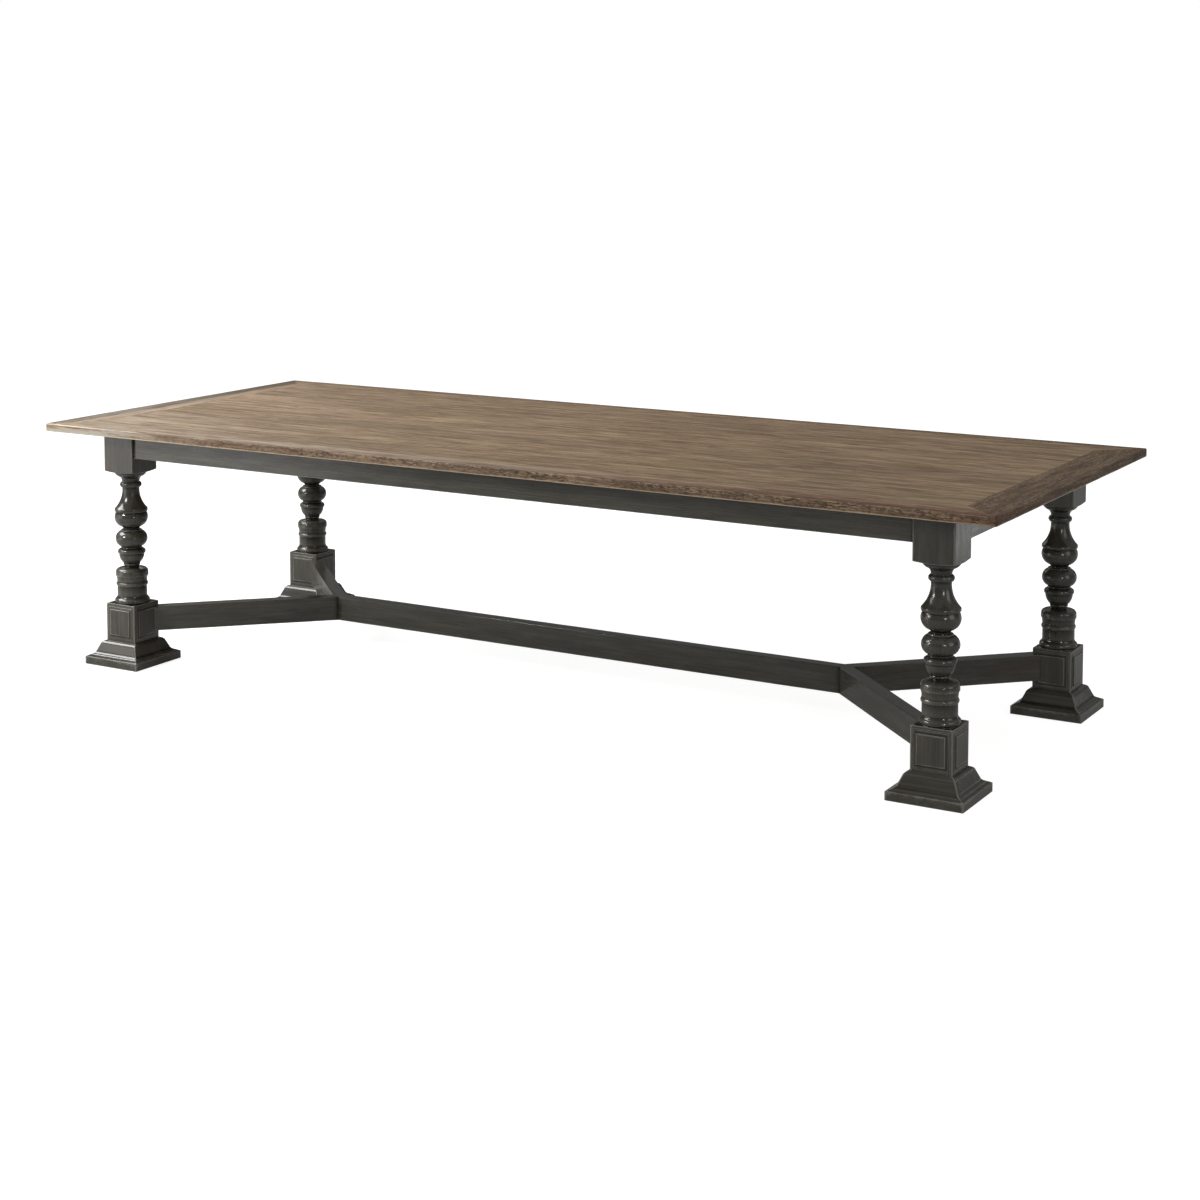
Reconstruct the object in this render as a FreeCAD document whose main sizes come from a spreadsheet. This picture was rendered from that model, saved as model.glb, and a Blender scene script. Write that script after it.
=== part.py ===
# A long refectory dining table. A weathered plank top with mitred border boards lies on four
# aprons. Four turned legs stand on moulded plinths, and a double Y stretcher ties them together.
#
# Frame: millimetres, +Z up, origin on the floor under the middle of the top. +X runs along the
# table, and the long side at -Y is the front. The front right quarter is modelled, and the other
# three are its mirror images, as on a table made from matched pieces.
import FreeCAD, Part
import os
import re

import Sketcher
from FreeCAD import Rotation, Vector

# Every independent size, in millimetres. The names are the cells of the sheet "Sizes".
SIZES = {
    # Whole table
    "table_height": 762,
    "top_length": 3100,
    "top_width": 1256,
    "top_thickness": 24,
    # Top: border boards, field planks and the loose tongues that join them
    "border_width": 118,
    "edge_round": 3,
    "under_round": 2,
    "corner_round": 6,
    "seam_arris": 0.8,
    "tongue_thickness": 8,
    "tongue_depth": 10,
    "spline_length": 100,
    "spline_depth": 12,
    # How far the top stands out past the faces of the leg blocks
    "end_overhang": 146,
    "side_overhang": 106,
    # Leg: a square block above and below the turned shaft
    "block_width": 114,
    "block_arris": 2.5,
    "top_block_height": 128,
    "pedestal_block_height": 117,
    "spigot_diameter": 50,
    "spigot_grip": 14,
    # Raised panels on the pedestal block
    "panel_margin": 10,
    "panel_step": 1.2,
    "panel_slope_width": 11,
    "panel_rise": 4.6,
    # Moulded plinth, foot slab and floor glides
    "plinth_height": 46.5,
    "slab_width": 210,
    "slab_thickness": 26,
    "slab_bevel_width": 5,
    "slab_bevel_height": 2.5,
    "glide_stand": 1.5,
    "glide_recess": 3,
    "glide_diameter": 24,
    "glide_inset": 30,
    "glide_pin_diameter": 5,
    "glide_pin_length": 10,
    # Aprons with their tenons and the groove for the top buttons
    "apron_height": 82,
    "apron_thickness": 22,
    "apron_setback": 7,
    "apron_tenon_length": 30,
    "apron_tenon_thickness": 10,
    "apron_tenon_height": 60,
    "groove_drop": 12,
    "groove_height": 7,
    "groove_depth": 9,
    # Buttons that hold the top down
    "button_length": 40,
    "button_reach": 36,
    "button_thickness": 20,
    "button_clearance": 1,
    # Cross rails under the top
    "cross_rail_thickness": 26,
    "cross_rail_height": 60,
    "rail_stub_length": 8,
    "rail_stub_thickness": 12,
    "rail_stub_height": 36,
    # Corner braces with their hanger bolts
    "brace_standoff": 12,
    "brace_thickness": 28,
    "brace_height": 60,
    "bolt_diameter": 8,
    "bolt_grip": 42,
    "bolt_spacing": 30,
    "bolt_tail": 4,
    "washer_diameter": 20,
    "washer_thickness": 1.6,
    "nut_width": 13,
    "nut_height": 6.5,
    # Stretcher: a beam along the table and an arm to each leg
    "stretcher_clear": 98,
    "stretcher_height": 76,
    "stretcher_thickness": 42,
    "arm_tenon_length": 28,
    "arm_tenon_thickness": 18,
    "arm_tenon_height": 46,
    "dowel_diameter": 8,
    "dowel_length": 30,
    "dowel_spacing": 36,
}

# The turner's story stick, from the foot of the shaft to its shoulder. Each mark is a share of the
# turned length, a share of the block's half width, and the swell of the run to the next mark as a
# share of that run's length: positive swells out, negative hollows in, nothing is straight.
STORY_STICK = (
    ("base_ring_foot", 0.000, 0.925, 0.14),
    ("base_ring_top", 0.030, 0.925, 0),
    ("drum_flare", 0.034, 0.888, -0.12),
    ("drum_foot", 0.066, 0.808, 0),
    ("drum_bead_low", 0.127, 0.804, 0.24),
    ("drum_bead_high", 0.157, 0.818, -0.06),
    ("drum_waist", 0.204, 0.868, 0),
    ("drum_collar_low", 0.206, 0.890, 0),
    ("drum_collar_high", 0.236, 0.882, 0.20),
    ("drum_crown", 0.260, 0.640, 0),
    ("drum_neck", 0.271, 0.392, 0),
    ("cup_bead_low", 0.279, 0.405, 0.28),
    ("cup_bead_high", 0.298, 0.425, 0),
    ("cup_foot", 0.301, 0.475, 0.10),
    ("cup_shoulder", 0.370, 0.690, 0),
    ("cup_rim_low", 0.375, 0.742, 0.10),
    ("cup_rim_high", 0.398, 0.728, 0),
    ("cup_throat", 0.413, 0.570, 0),
    ("lower_bulb_foot", 0.424, 0.572, 0.335),
    ("lower_bulb_crown", 0.544, 0.578, 0),
    ("middle_fillet", 0.550, 0.572, 0),
    ("middle_neck_low", 0.552, 0.442, 0),
    ("middle_neck_high", 0.563, 0.450, -0.10),
    ("upper_bulb_foot", 0.578, 0.600, 0.22),
    ("upper_bulb_crown", 0.686, 0.823, 0),
    ("flare_ring_low", 0.691, 0.888, 0.08),
    ("flare_ring_high", 0.711, 0.888, -0.105),
    ("vase_neck", 0.869, 0.466, 0),
    ("astragal_low", 0.872, 0.520, 0.26),
    ("astragal_high", 0.909, 0.520, 0),
    ("upper_neck_low", 0.911, 0.474, 0),
    ("upper_neck_high", 0.924, 0.478, -0.08),
    ("shoulder_low", 0.952, 0.610, 0.12),
    ("shoulder_high", 0.988, 0.895, 0),
)

# The plinth's ogee from the slab up to the block: a share of its overhang, a share of its height
# and the swell of the run to the next mark.
PLINTH_MARKS = (
    ("plinth_toe", 0.896, 0.000, 0),
    ("plinth_hollow", 0.667, 0.108, -0.12),
    ("plinth_waist", 0.490, 0.310, 0),
    ("plinth_brow", 0.310, 0.730, 0.14),
    ("plinth_lip", 0.080, 0.960, 0),
)

FIELD_PLANKS = 4
CROSS_RAILS = ("left", "middle", "right")
BUTTONS_PER_SIDE = len(CROSS_RAILS) + 1  # one to each bay between the rails
BUTTONS_PER_END = 2
BRACE_TURN = 135  # degrees from the table's length to a brace's axis, seen from the front right leg
FORK_MITRE_TURN = 22.5  # degrees from square to the seam where beam and arm meet
QUARTER_ARC_SHARE = 0.2071  # the swell of a quarter circle, as a share of its chord
EIGHTH_ARC_SHARE = 0.0995  # the swell of an eighth of a circle
PANEL_SWELL_SHARE = 0.10
TOOL_OVERRUN = "block_width"  # how far a cutter runs past the wood

doc = FreeCAD.newDocument("RefectoryTable")
sheet = doc.addObject("Spreadsheet::Sheet", "Sizes")


def fill_sheet():
    """Write every size and every mark's shares to the sheet as plain numbers with an alias."""
    cells = dict(SIZES)
    for mark, *shares in STORY_STICK:
        cells.update(zip((f"{mark}_height_share", f"{mark}_radius_share", f"{mark}_swell_share"), shares))
    for mark, *shares in PLINTH_MARKS:
        cells.update(zip((f"{mark}_out_share", f"{mark}_up_share", f"{mark}_swell_share"), shares))
    for row, (alias, number) in enumerate(cells.items(), start=1):
        sheet.set(f"A{row}", alias)
        sheet.set(f"B{row}", str(number))
        sheet.setAlias(f"B{row}", alias)
    doc.recompute()
    return cells


CELLS = fill_sheet()


def bind(text):
    """An expression in which each size's name points at its cell."""
    return re.sub(r"[a-z]\w*", lambda w: f"Sizes.{w[0]}" if w[0] in CELLS else w[0], str(text))


def value(text):
    """The number that an expression gives now."""
    return float(sheet.evalExpression(bind(text)))


# Places that several pieces share, as expressions of the sizes
HALF_BLOCK = "block_width / 2"
LEG_X = f"(top_length / 2 - end_overhang - {HALF_BLOCK})"
LEG_Y = f"(top_width / 2 - side_overhang - {HALF_BLOCK})"
LONG_CLEAR = f"({LEG_X} - {HALF_BLOCK})"
SHORT_CLEAR = f"({LEG_Y} - {HALF_BLOCK})"
TOP_UNDERSIDE = "(table_height - top_thickness)"
TOP_MIDDLE = "(table_height - top_thickness / 2)"
FIELD_HALF_LENGTH = "(top_length / 2 - border_width)"
FIELD_HALF_WIDTH = "(top_width / 2 - border_width)"
SLAB_TOP = "(glide_stand + slab_thickness)"
PLINTH_TOP = f"({SLAB_TOP} + plinth_height)"
BLOCK_TOP = f"({PLINTH_TOP} + pedestal_block_height)"
TURNED_LENGTH = f"({TOP_UNDERSIDE} - top_block_height - {BLOCK_TOP})"
APRON_BOTTOM = f"({TOP_UNDERSIDE} - apron_height)"
APRON_OUTSIDE = f"({HALF_BLOCK} - apron_setback)"
APRON_INSIDE = f"({APRON_OUTSIDE} - apron_thickness)"
APRON_MIDDLE = f"({APRON_OUTSIDE} - apron_thickness / 2)"

# Each drawing plane: the turn that lays a sketch on it, and the way its prism grows
PLANES = {
    "XY": (Rotation(), Vector(0, 0, 1)),
    "XZ": (Rotation(Vector(1, 0, 0), 90), Vector(0, 1, 0)),
    "YZ": (Rotation(Vector(1, 1, 1), 120), Vector(1, 0, 0)),
}
ALONG_TABLE = Vector(1, 0, 0)
ACROSS_TABLE = Vector(0, 1, 0)
UPRIGHT = Vector(0, 0, 1)


def draw_outline(sketch, outline):
    """Draw one closed outline. A mark is (across, up) or (across, up, swell share) and every mark
    is held by two bound distances from the origin. The swell, positive to the right of the way the
    outline runs, bows the run from its mark to the next."""
    first = sketch.GeometryCount
    marks = [(mark[0], mark[1], mark[2] if len(mark) > 2 else 0) for mark in outline]
    spots = [Vector(value(across), value(up), 0) for across, up, _ in marks]
    count = len(marks)
    for i, (_, _, swell) in enumerate(marks):
        here, there = spots[i], spots[(i + 1) % count]
        bow = value(swell)
        if bow:
            chord = there - here
            middle = (here + there) / 2 + Vector(chord.y, -chord.x, 0) * bow
            sketch.addGeometry(Part.Arc(here, middle, there), False)
        else:
            sketch.addGeometry(Part.LineSegment(here, there), False)
    starts = [
        1 if sketch.getPoint(first + i, 1).distanceToPoint(spots[i]) < 1e-6 else 2 for i in range(count)
    ]
    for i, (across, up, swell) in enumerate(marks):
        after = (i + 1) % count
        run, start = first + i, starts[i]
        sketch.addConstraint(
            Sketcher.Constraint("Coincident", run, 3 - start, first + after, starts[after])
        )
        for kind, size in (("DistanceX", across), ("DistanceY", up)):
            held = sketch.addConstraint(Sketcher.Constraint(kind, -1, 1, run, start, value(size)))
            sketch.setExpression(f"Constraints[{held}]", bind(size))
        if value(swell):
            across_next, up_next, _ = marks[after]
            chord = f"sqrt((({across_next}) - ({across}))^2 + (({up_next}) - ({up}))^2)"
            radius = f"{chord} * (1 + 4 * ({swell})^2) / (8 * abs({swell}))"
            held = sketch.addConstraint(Sketcher.Constraint("Radius", run, value(radius)))
            sketch.setExpression(f"Constraints[{held}]", bind(radius))


def place(piece, x="0", y="0", z="0", rotation=None):
    """Turn a piece and bind where it stands."""
    if rotation is not None:
        piece.Placement.Rotation = rotation
    for axis, where in zip("xyz", (x, y, z)):
        piece.setExpression(f"Placement.Base.{axis}", bind(where))


def prism(name, plane, outline, low, high, at=("0", "0"), turn=0):
    """An outline drawn on a plane through the point given and grown square to that plane from low
    to high. The turn, in degrees about the upright, comes first."""
    lay, grow = PLANES[plane]
    spin = Rotation(UPRIGHT, turn)
    sketch = doc.addObject("Sketcher::SketchObject", f"{name}_outline")
    draw_outline(sketch, outline)
    place(sketch, *at, rotation=spin.multiply(lay))
    solid = doc.addObject("Part::Extrusion", name)
    solid.Base = sketch
    solid.DirMode = "Custom"
    solid.Dir = spin.multVec(grow)
    solid.Solid = True
    solid.setExpression("LengthFwd", bind(high))
    solid.setExpression("LengthRev", bind(f"-({low})"))
    return solid


def box(name, x, y, z):
    """A block between two places along each axis."""
    solid = doc.addObject("Part::Box", name)
    for side, (low, high) in zip(("Length", "Width", "Height"), (x, y, z)):
        solid.setExpression(side, bind(f"({high}) - ({low})"))
    place(solid, x[0], y[0], z[0])
    return solid


def rod(name, diameter, length, at, along):
    """A round bar from a point, along a direction."""
    solid = doc.addObject("Part::Cylinder", name)
    solid.setExpression("Radius", bind(f"({diameter}) / 2"))
    solid.setExpression("Height", bind(length))
    place(solid, *at, rotation=Rotation(UPRIGHT, along))
    return solid


def common(name, one, other):
    """What two solids share: a piece shaped from two sides."""
    solid = doc.addObject("Part::Common", name)
    solid.Base = one
    solid.Tool = other
    return solid


def join(name, pieces):
    """Several solids as one piece of wood."""
    solid = doc.addObject("Part::MultiFuse", name)
    solid.Shapes = pieces
    solid.Refine = True
    return solid


def group(name, pieces):
    """Several separate solids that share one name."""
    solids = doc.addObject("Part::Compound", name)
    solids.Links = pieces
    return solids


def cut(name, wood, cutter):
    """A piece of wood after a cutter, or a fitting that lies in it, has taken its place."""
    solid = doc.addObject("Part::Cut", name)
    solid.Base = wood
    solid.Tool = cutter
    return solid


def mirror(name, source, normal):
    """The mirror image of a piece across the middle of the table."""
    image = doc.addObject("Part::Mirroring", name)
    image.Source = source
    image.Normal = normal
    return image


def four_corners(name, source):
    """A front right piece and its images at the other three corners, as four pieces."""
    source.Label = f"{name}_front_right"
    front_left = mirror(f"{name}_front_left", source, ALONG_TABLE)
    back_right = mirror(f"{name}_back_right", source, ACROSS_TABLE)
    back_left = mirror(f"{name}_back_left", front_left, ACROSS_TABLE)
    return [source, front_left, back_right, back_left]


# Top: loose tongues and mitre splines, which cut their own grooves


def plank_edge(number):
    """Where the seam before a field plank lies, counted from the front."""
    return f"(-{FIELD_HALF_WIDTH} + {number} * 2 * {FIELD_HALF_WIDTH} / {FIELD_PLANKS})"


tongue_z = (f"{TOP_MIDDLE} - tongue_thickness / 2", f"{TOP_MIDDLE} + tongue_thickness / 2")
seam_x = (f"-({FIELD_HALF_LENGTH} - tongue_depth)", f"{FIELD_HALF_LENGTH} - tongue_depth")
seam_tongues = [
    box(
        f"seam_tongue_{number + 1}",
        seam_x,
        (f"{plank_edge(number)} - tongue_depth", f"{plank_edge(number)} + tongue_depth"),
        tongue_z,
    )
    for number in range(FIELD_PLANKS + 1)
]
end_tongue_right = box(
    "end_tongue_right",
    (f"{FIELD_HALF_LENGTH} - tongue_depth", f"{FIELD_HALF_LENGTH} + tongue_depth"),
    (f"-{FIELD_HALF_WIDTH}", FIELD_HALF_WIDTH),
    tongue_z,
)
end_tongues = [end_tongue_right, mirror("end_tongue_left", end_tongue_right, ALONG_TABLE)]

half_spline = "spline_length / 2"
spline = prism(
    "mitre_spline_front_right",
    "XY",
    (
        (f"-{half_spline}", "-spline_depth"),
        (half_spline, "-spline_depth"),
        (half_spline, "spline_depth"),
        (f"-{half_spline}", "spline_depth"),
    ),
    *tongue_z,
    at=(f"{FIELD_HALF_LENGTH} + border_width / 2", f"-{FIELD_HALF_WIDTH} - border_width / 2"),
    turn=-45,
)
splines = four_corners("mitre_spline", spline)

top_seam_tongues = group("top_seam_tongues", seam_tongues)
top_end_tongues = group("top_end_tongues", end_tongues)
top_mitre_splines = group("top_mitre_splines", splines)
top_joints = group("top_joints", [top_seam_tongues, top_end_tongues, top_mitre_splines])

# Top: border boards, each a moulded section crossed with its mitred plan


def edge_section(outer, inner):
    """A border board's section, from its eased outer edge to its inner seam."""
    return (
        (f"{outer} - under_round", TOP_UNDERSIDE, QUARTER_ARC_SHARE),
        (outer, f"{TOP_UNDERSIDE} + under_round"),
        (outer, "table_height - edge_round", QUARTER_ARC_SHARE),
        (f"{outer} - edge_round", "table_height"),
        (f"{inner} + seam_arris", "table_height"),
        (inner, "table_height - seam_arris"),
        (inner, TOP_UNDERSIDE),
    )


def border_plan(long_side, short_side):
    """A border board's plan, mitred at both ends, seen with its outer edge at the top. The tips
    carry their half of the rounded corner of the top."""
    tip = "corner_round * (1 - 1 / sqrt(2))"
    return (
        (f"-({long_side}) + corner_round", short_side, EIGHTH_ARC_SHARE),
        (f"-({long_side}) + {tip}", f"({short_side}) - {tip}"),
        (f"-({long_side}) + border_width", f"({short_side}) - border_width"),
        (f"({long_side}) - border_width", f"({short_side}) - border_width"),
        (f"({long_side}) - {tip}", f"({short_side}) - {tip}", EIGHTH_ARC_SHARE),
        (f"({long_side}) - corner_round", short_side),
    )


HALF_LENGTH = "top_length / 2"
HALF_WIDTH = "top_width / 2"
def border_board(name, section_plane, half_length, outer, inner, turn):
    """A border board from its half length and the places of its outer edge and inner seam."""
    outline = edge_section(outer, inner)
    section = prism(f"{name}_section", section_plane, outline, f"-{half_length}", half_length)
    plan = prism(
        f"{name}_plan",
        "XY",
        border_plan(half_length, outer),
        TOP_UNDERSIDE,
        "table_height",
        turn=turn,
    )
    return cut(name, common(f"{name}_blank", section, plan), top_joints)


board_back = border_board("top_side_board_back", "YZ", HALF_LENGTH, HALF_WIDTH, FIELD_HALF_WIDTH, 0)
board_front = mirror("top_side_board_front", board_back, ACROSS_TABLE)
board_right = border_board("top_end_board_right", "XZ", HALF_WIDTH, HALF_LENGTH, FIELD_HALF_LENGTH, -90)
board_left = mirror("top_end_board_left", board_right, ALONG_TABLE)

# Top: field planks


def plank(number):
    """One field plank with a fine arris along each seam."""
    near, far = plank_edge(number), plank_edge(number + 1)
    section = (
        (near, TOP_UNDERSIDE),
        (far, TOP_UNDERSIDE),
        (far, "table_height - seam_arris"),
        (f"{far} - seam_arris", "table_height"),
        (f"{near} + seam_arris", "table_height"),
        (near, "table_height - seam_arris"),
    )
    blank = prism(f"plank_blank_{number + 1}", "YZ", section, f"-{FIELD_HALF_LENGTH}", FIELD_HALF_LENGTH)
    return cut(f"top_plank_{number + 1}", blank, top_joints)


planks = [plank(number) for number in range(FIELD_PLANKS)]

# Cross rails under the top, stubbed into the long aprons

RAIL_HALF_LENGTH = f"({LEG_Y} + {APRON_INSIDE})"


def cross_rail(name, where):
    """A rail on edge across the table, with a thin stub at each end."""
    middle = f"{TOP_UNDERSIDE} - cross_rail_height / 2"
    bar = box(
        f"{name}_bar",
        (f"{where} - cross_rail_thickness / 2", f"{where} + cross_rail_thickness / 2"),
        (f"-{RAIL_HALF_LENGTH}", RAIL_HALF_LENGTH),
        (f"{TOP_UNDERSIDE} - cross_rail_height", TOP_UNDERSIDE),
    )
    stub = box(
        f"{name}_stub",
        (f"{where} - rail_stub_thickness / 2", f"{where} + rail_stub_thickness / 2"),
        (f"-{RAIL_HALF_LENGTH} - rail_stub_length", f"{RAIL_HALF_LENGTH} + rail_stub_length"),
        (f"{middle} - rail_stub_height / 2", f"{middle} + rail_stub_height / 2"),
    )
    return join(name, [bar, stub])


RAIL_BAY = f"(2 * {LONG_CLEAR} / {len(CROSS_RAILS) + 1})"
cross_rails = [
    cross_rail(f"cross_rail_{side}", f"{step} * {RAIL_BAY}") for side, step in zip(CROSS_RAILS, (-1, 0, 1))
]
rail_set = group("rail_set", cross_rails)

# Aprons, tenoned into the top blocks and grooved inside for the buttons

APRON_Z = f"({APRON_BOTTOM} + apron_height / 2)"
GROOVE_TOP = f"({TOP_UNDERSIDE} - groove_drop)"


def apron_parts(name, clear, centre, along_x):
    """An apron's board with its tenons and its groove, for the board at +Y or at +X."""
    outside, inside = f"{centre} + {APRON_OUTSIDE}", f"{centre} + {APRON_INSIDE}"
    middle = f"{centre} + {APRON_MIDDLE}"
    spans = {
        "board": (
            (f"-{clear}", clear),
            (inside, outside),
            (APRON_BOTTOM, TOP_UNDERSIDE),
        ),
        "tenons": (
            (f"-{clear} - apron_tenon_length", f"{clear} + apron_tenon_length"),
            (f"{middle} - apron_tenon_thickness / 2", f"{middle} + apron_tenon_thickness / 2"),
            (f"{APRON_Z} - apron_tenon_height / 2", f"{APRON_Z} + apron_tenon_height / 2"),
        ),
        "groove": (
            (f"-{clear}", clear),
            (inside, f"{inside} + groove_depth"),
            (f"{GROOVE_TOP} - groove_height", GROOVE_TOP),
        ),
    }
    solids = {}
    for part, (along, across, up) in spans.items():
        sides = (along, across) if along_x else (across, along)
        solids[part] = box(f"{name}_{part}", *sides, up)
    return solids


long_apron = apron_parts("apron_back", LONG_CLEAR, LEG_Y, True)
long_apron_cutters = group("apron_back_cutters", [long_apron["groove"], rail_set])
apron_back_wood = join("apron_back_wood", [long_apron["board"], long_apron["tenons"]])
apron_back = cut("apron_back", apron_back_wood, long_apron_cutters)
apron_front = mirror("apron_front", apron_back, ACROSS_TABLE)
short_apron = apron_parts("apron_right", SHORT_CLEAR, LEG_X, False)
apron_right_wood = join("apron_right_wood", [short_apron["board"], short_apron["tenons"]])
apron_right = cut("apron_right", apron_right_wood, short_apron["groove"])
apron_left = mirror("apron_left", apron_right, ALONG_TABLE)

# Buttons: wooden blocks with a tongue in the apron's groove, screwed up into the top


def button(name, plane, apron_face, where):
    """A button on the inside of the apron at +Y or +X, at a place along that apron."""
    tongue_top = f"{GROOVE_TOP} - button_clearance"
    section = (
        (f"{apron_face} - button_reach", f"{TOP_UNDERSIDE} - button_thickness"),
        (f"{apron_face} - button_clearance", f"{TOP_UNDERSIDE} - button_thickness"),
        (f"{apron_face} - button_clearance", f"{GROOVE_TOP} - groove_height"),
        (f"{apron_face} + groove_depth - button_clearance", f"{GROOVE_TOP} - groove_height"),
        (f"{apron_face} + groove_depth - button_clearance", tongue_top),
        (f"{apron_face} - button_clearance", tongue_top),
        (f"{apron_face} - button_clearance", TOP_UNDERSIDE),
        (f"{apron_face} - button_reach", TOP_UNDERSIDE),
    )
    return prism(name, plane, section, f"{where} - button_length / 2", f"{where} + button_length / 2")


def bay_middle(number, bays, clear):
    """The middle of one of the equal bays that an apron's clear length is divided into."""
    return f"{number - (bays - 1) / 2} * 2 * {clear} / {bays}"


buttons = []
for number in range(BUTTONS_PER_SIDE):
    where = bay_middle(number, BUTTONS_PER_SIDE, LONG_CLEAR)
    back_button = button(f"button_back_{number + 1}", "YZ", f"{LEG_Y} + {APRON_INSIDE}", where)
    buttons += [back_button, mirror(f"button_front_{number + 1}", back_button, ACROSS_TABLE)]
for number in range(BUTTONS_PER_END):
    where = bay_middle(number, BUTTONS_PER_END, SHORT_CLEAR)
    right_button = button(f"button_right_{number + 1}", "XZ", f"{LEG_X} + {APRON_INSIDE}", where)
    buttons += [right_button, mirror(f"button_left_{number + 1}", right_button, ALONG_TABLE)]
top_buttons = group("top_buttons", buttons)

# Corner braces and their hanger bolts. Along the brace's axis, which runs from the leg's centre
# towards the middle of the table at 45 degrees, the leg's corner comes first.

LEG_CORNER = f"({HALF_BLOCK} * sqrt(2))"
BRACE_NEAR = f"({LEG_CORNER} + brace_standoff)"
BRACE_FAR = f"({BRACE_NEAR} + brace_thickness)"
BRACE_Z = f"({TOP_UNDERSIDE} - apron_height / 2)"
INWARD = Vector(-1, 1, 0)
AT_LEG = (LEG_X, f"-{LEG_Y}")


def brace_half_span(distance):
    """How far a brace reaches to each side, at a distance from the leg's centre."""
    return f"(sqrt(2) * {APRON_INSIDE} + {distance})"


def on_diagonal(distance):
    """The point on the brace's axis at a distance from the leg's centre."""
    return (f"{LEG_X} - ({distance}) / sqrt(2)", f"-{LEG_Y} + ({distance}) / sqrt(2)")


brace_blank = prism(
    "brace_blank",
    "XY",
    (
        (BRACE_NEAR, f"-{brace_half_span(BRACE_NEAR)}"),
        (BRACE_FAR, f"-{brace_half_span(BRACE_FAR)}"),
        (BRACE_FAR, brace_half_span(BRACE_FAR)),
        (BRACE_NEAR, brace_half_span(BRACE_NEAR)),
    ),
    f"{BRACE_Z} - brace_height / 2",
    f"{BRACE_Z} + brace_height / 2",
    at=AT_LEG,
    turn=BRACE_TURN,
)
bolts, washers, nuts = [], [], []
for number, side in enumerate((-0.5, 0.5)):
    level = f"{BRACE_Z} + {side} * bolt_spacing"
    bolt_length = "bolt_grip + brace_standoff + brace_thickness + washer_thickness + nut_height + bolt_tail"
    bolts.append(
        rod(
            f"hanger_bolt_{number + 1}",
            "bolt_diameter",
            bolt_length,
            (*on_diagonal(f"{LEG_CORNER} - bolt_grip"), level),
            INWARD,
        )
    )
    washer_face = on_diagonal(BRACE_FAR)
    washer_disc = rod(
        f"washer_disc_{number + 1}", "washer_diameter", "washer_thickness", (*washer_face, level), INWARD
    )
    washers.append(cut(f"washer_{number + 1}", washer_disc, bolts[-1]))
    nut_flat = "nut_width / 2"
    nut_point = "nut_width / sqrt(3)"
    nut_side = "nut_width / 2 / sqrt(3)"
    nut_low = f"{BRACE_FAR} + washer_thickness"
    nut_prism = prism(
        f"nut_prism_{number + 1}",
        "YZ",
        (
            (f"-{nut_point}", level),
            (f"-{nut_side}", f"{level} - {nut_flat}"),
            (nut_side, f"{level} - {nut_flat}"),
            (nut_point, level),
            (nut_side, f"{level} + {nut_flat}"),
            (f"-{nut_side}", f"{level} + {nut_flat}"),
        ),
        nut_low,
        f"{nut_low} + nut_height",
        at=AT_LEG,
        turn=BRACE_TURN,
    )
    nuts.append(cut(f"nut_{number + 1}", nut_prism, bolts[-1]))
bolt_pair = group("bolt_pair", bolts)
braces = four_corners("corner_brace", cut("corner_brace", brace_blank, bolt_pair))
hanger_bolts = group("hanger_bolts", four_corners("bolt_pair", bolt_pair))
brace_washers = group("brace_washers", four_corners("washer_pair", group("washer_pair", washers)))
brace_nuts = group("brace_nuts", four_corners("nut_pair", group("nut_pair", nuts)))

# Stretcher: dowels first, because they bore their own holes

ARM_Z = "(stretcher_clear + stretcher_height / 2)"
FORK_X = f"({LEG_X} - {LEG_Y})"
ARM_SIDE = "(stretcher_thickness / sqrt(2))"
SEAM_X = f"({FORK_X} - {ARM_SIDE} + stretcher_thickness / 2)"
ACROSS_SEAM = Rotation(UPRIGHT, -FORK_MITRE_TURN).multVec(ALONG_TABLE)

dowels = []
for number, side in enumerate((-0.5, 0.5)):
    reach = "dowel_length / 2"
    dowels.append(
        rod(
            f"mitre_dowel_{number + 1}",
            "dowel_diameter",
            "dowel_length",
            (
                f"({FORK_X} + {SEAM_X}) / 2 - {reach} * cos({FORK_MITRE_TURN})",
                f"-stretcher_thickness / 4 + {reach} * sin({FORK_MITRE_TURN})",
                f"{ARM_Z} + {side} * dowel_spacing",
            ),
            ACROSS_SEAM,
        )
    )
fork_dowel = rod(
    "fork_dowel",
    "dowel_diameter",
    "dowel_length",
    (f"{FORK_X} + {ARM_SIDE} / 2", "-dowel_length / 2", ARM_Z),
    ACROSS_TABLE,
)
mitre_dowels = four_corners("mitre_dowel", group("mitre_dowel", dowels))
fork_dowels = [fork_dowel, mirror("fork_dowel_left", fork_dowel, ALONG_TABLE)]
stretcher_dowels = group("stretcher_dowels", mitre_dowels + fork_dowels)

HALF_BEAM = "stretcher_thickness / 2"
stretcher_z = ("stretcher_clear", "stretcher_clear + stretcher_height")
beam_blank = prism(
    "beam_blank",
    "XY",
    (
        (f"-{FORK_X}", "0"),
        (f"-{SEAM_X}", f"-{HALF_BEAM}"),
        (SEAM_X, f"-{HALF_BEAM}"),
        (FORK_X, "0"),
        (SEAM_X, HALF_BEAM),
        (f"-{SEAM_X}", HALF_BEAM),
    ),
    *stretcher_z,
)
stretcher_beam = cut("stretcher_beam", beam_blank, stretcher_dowels)

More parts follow.
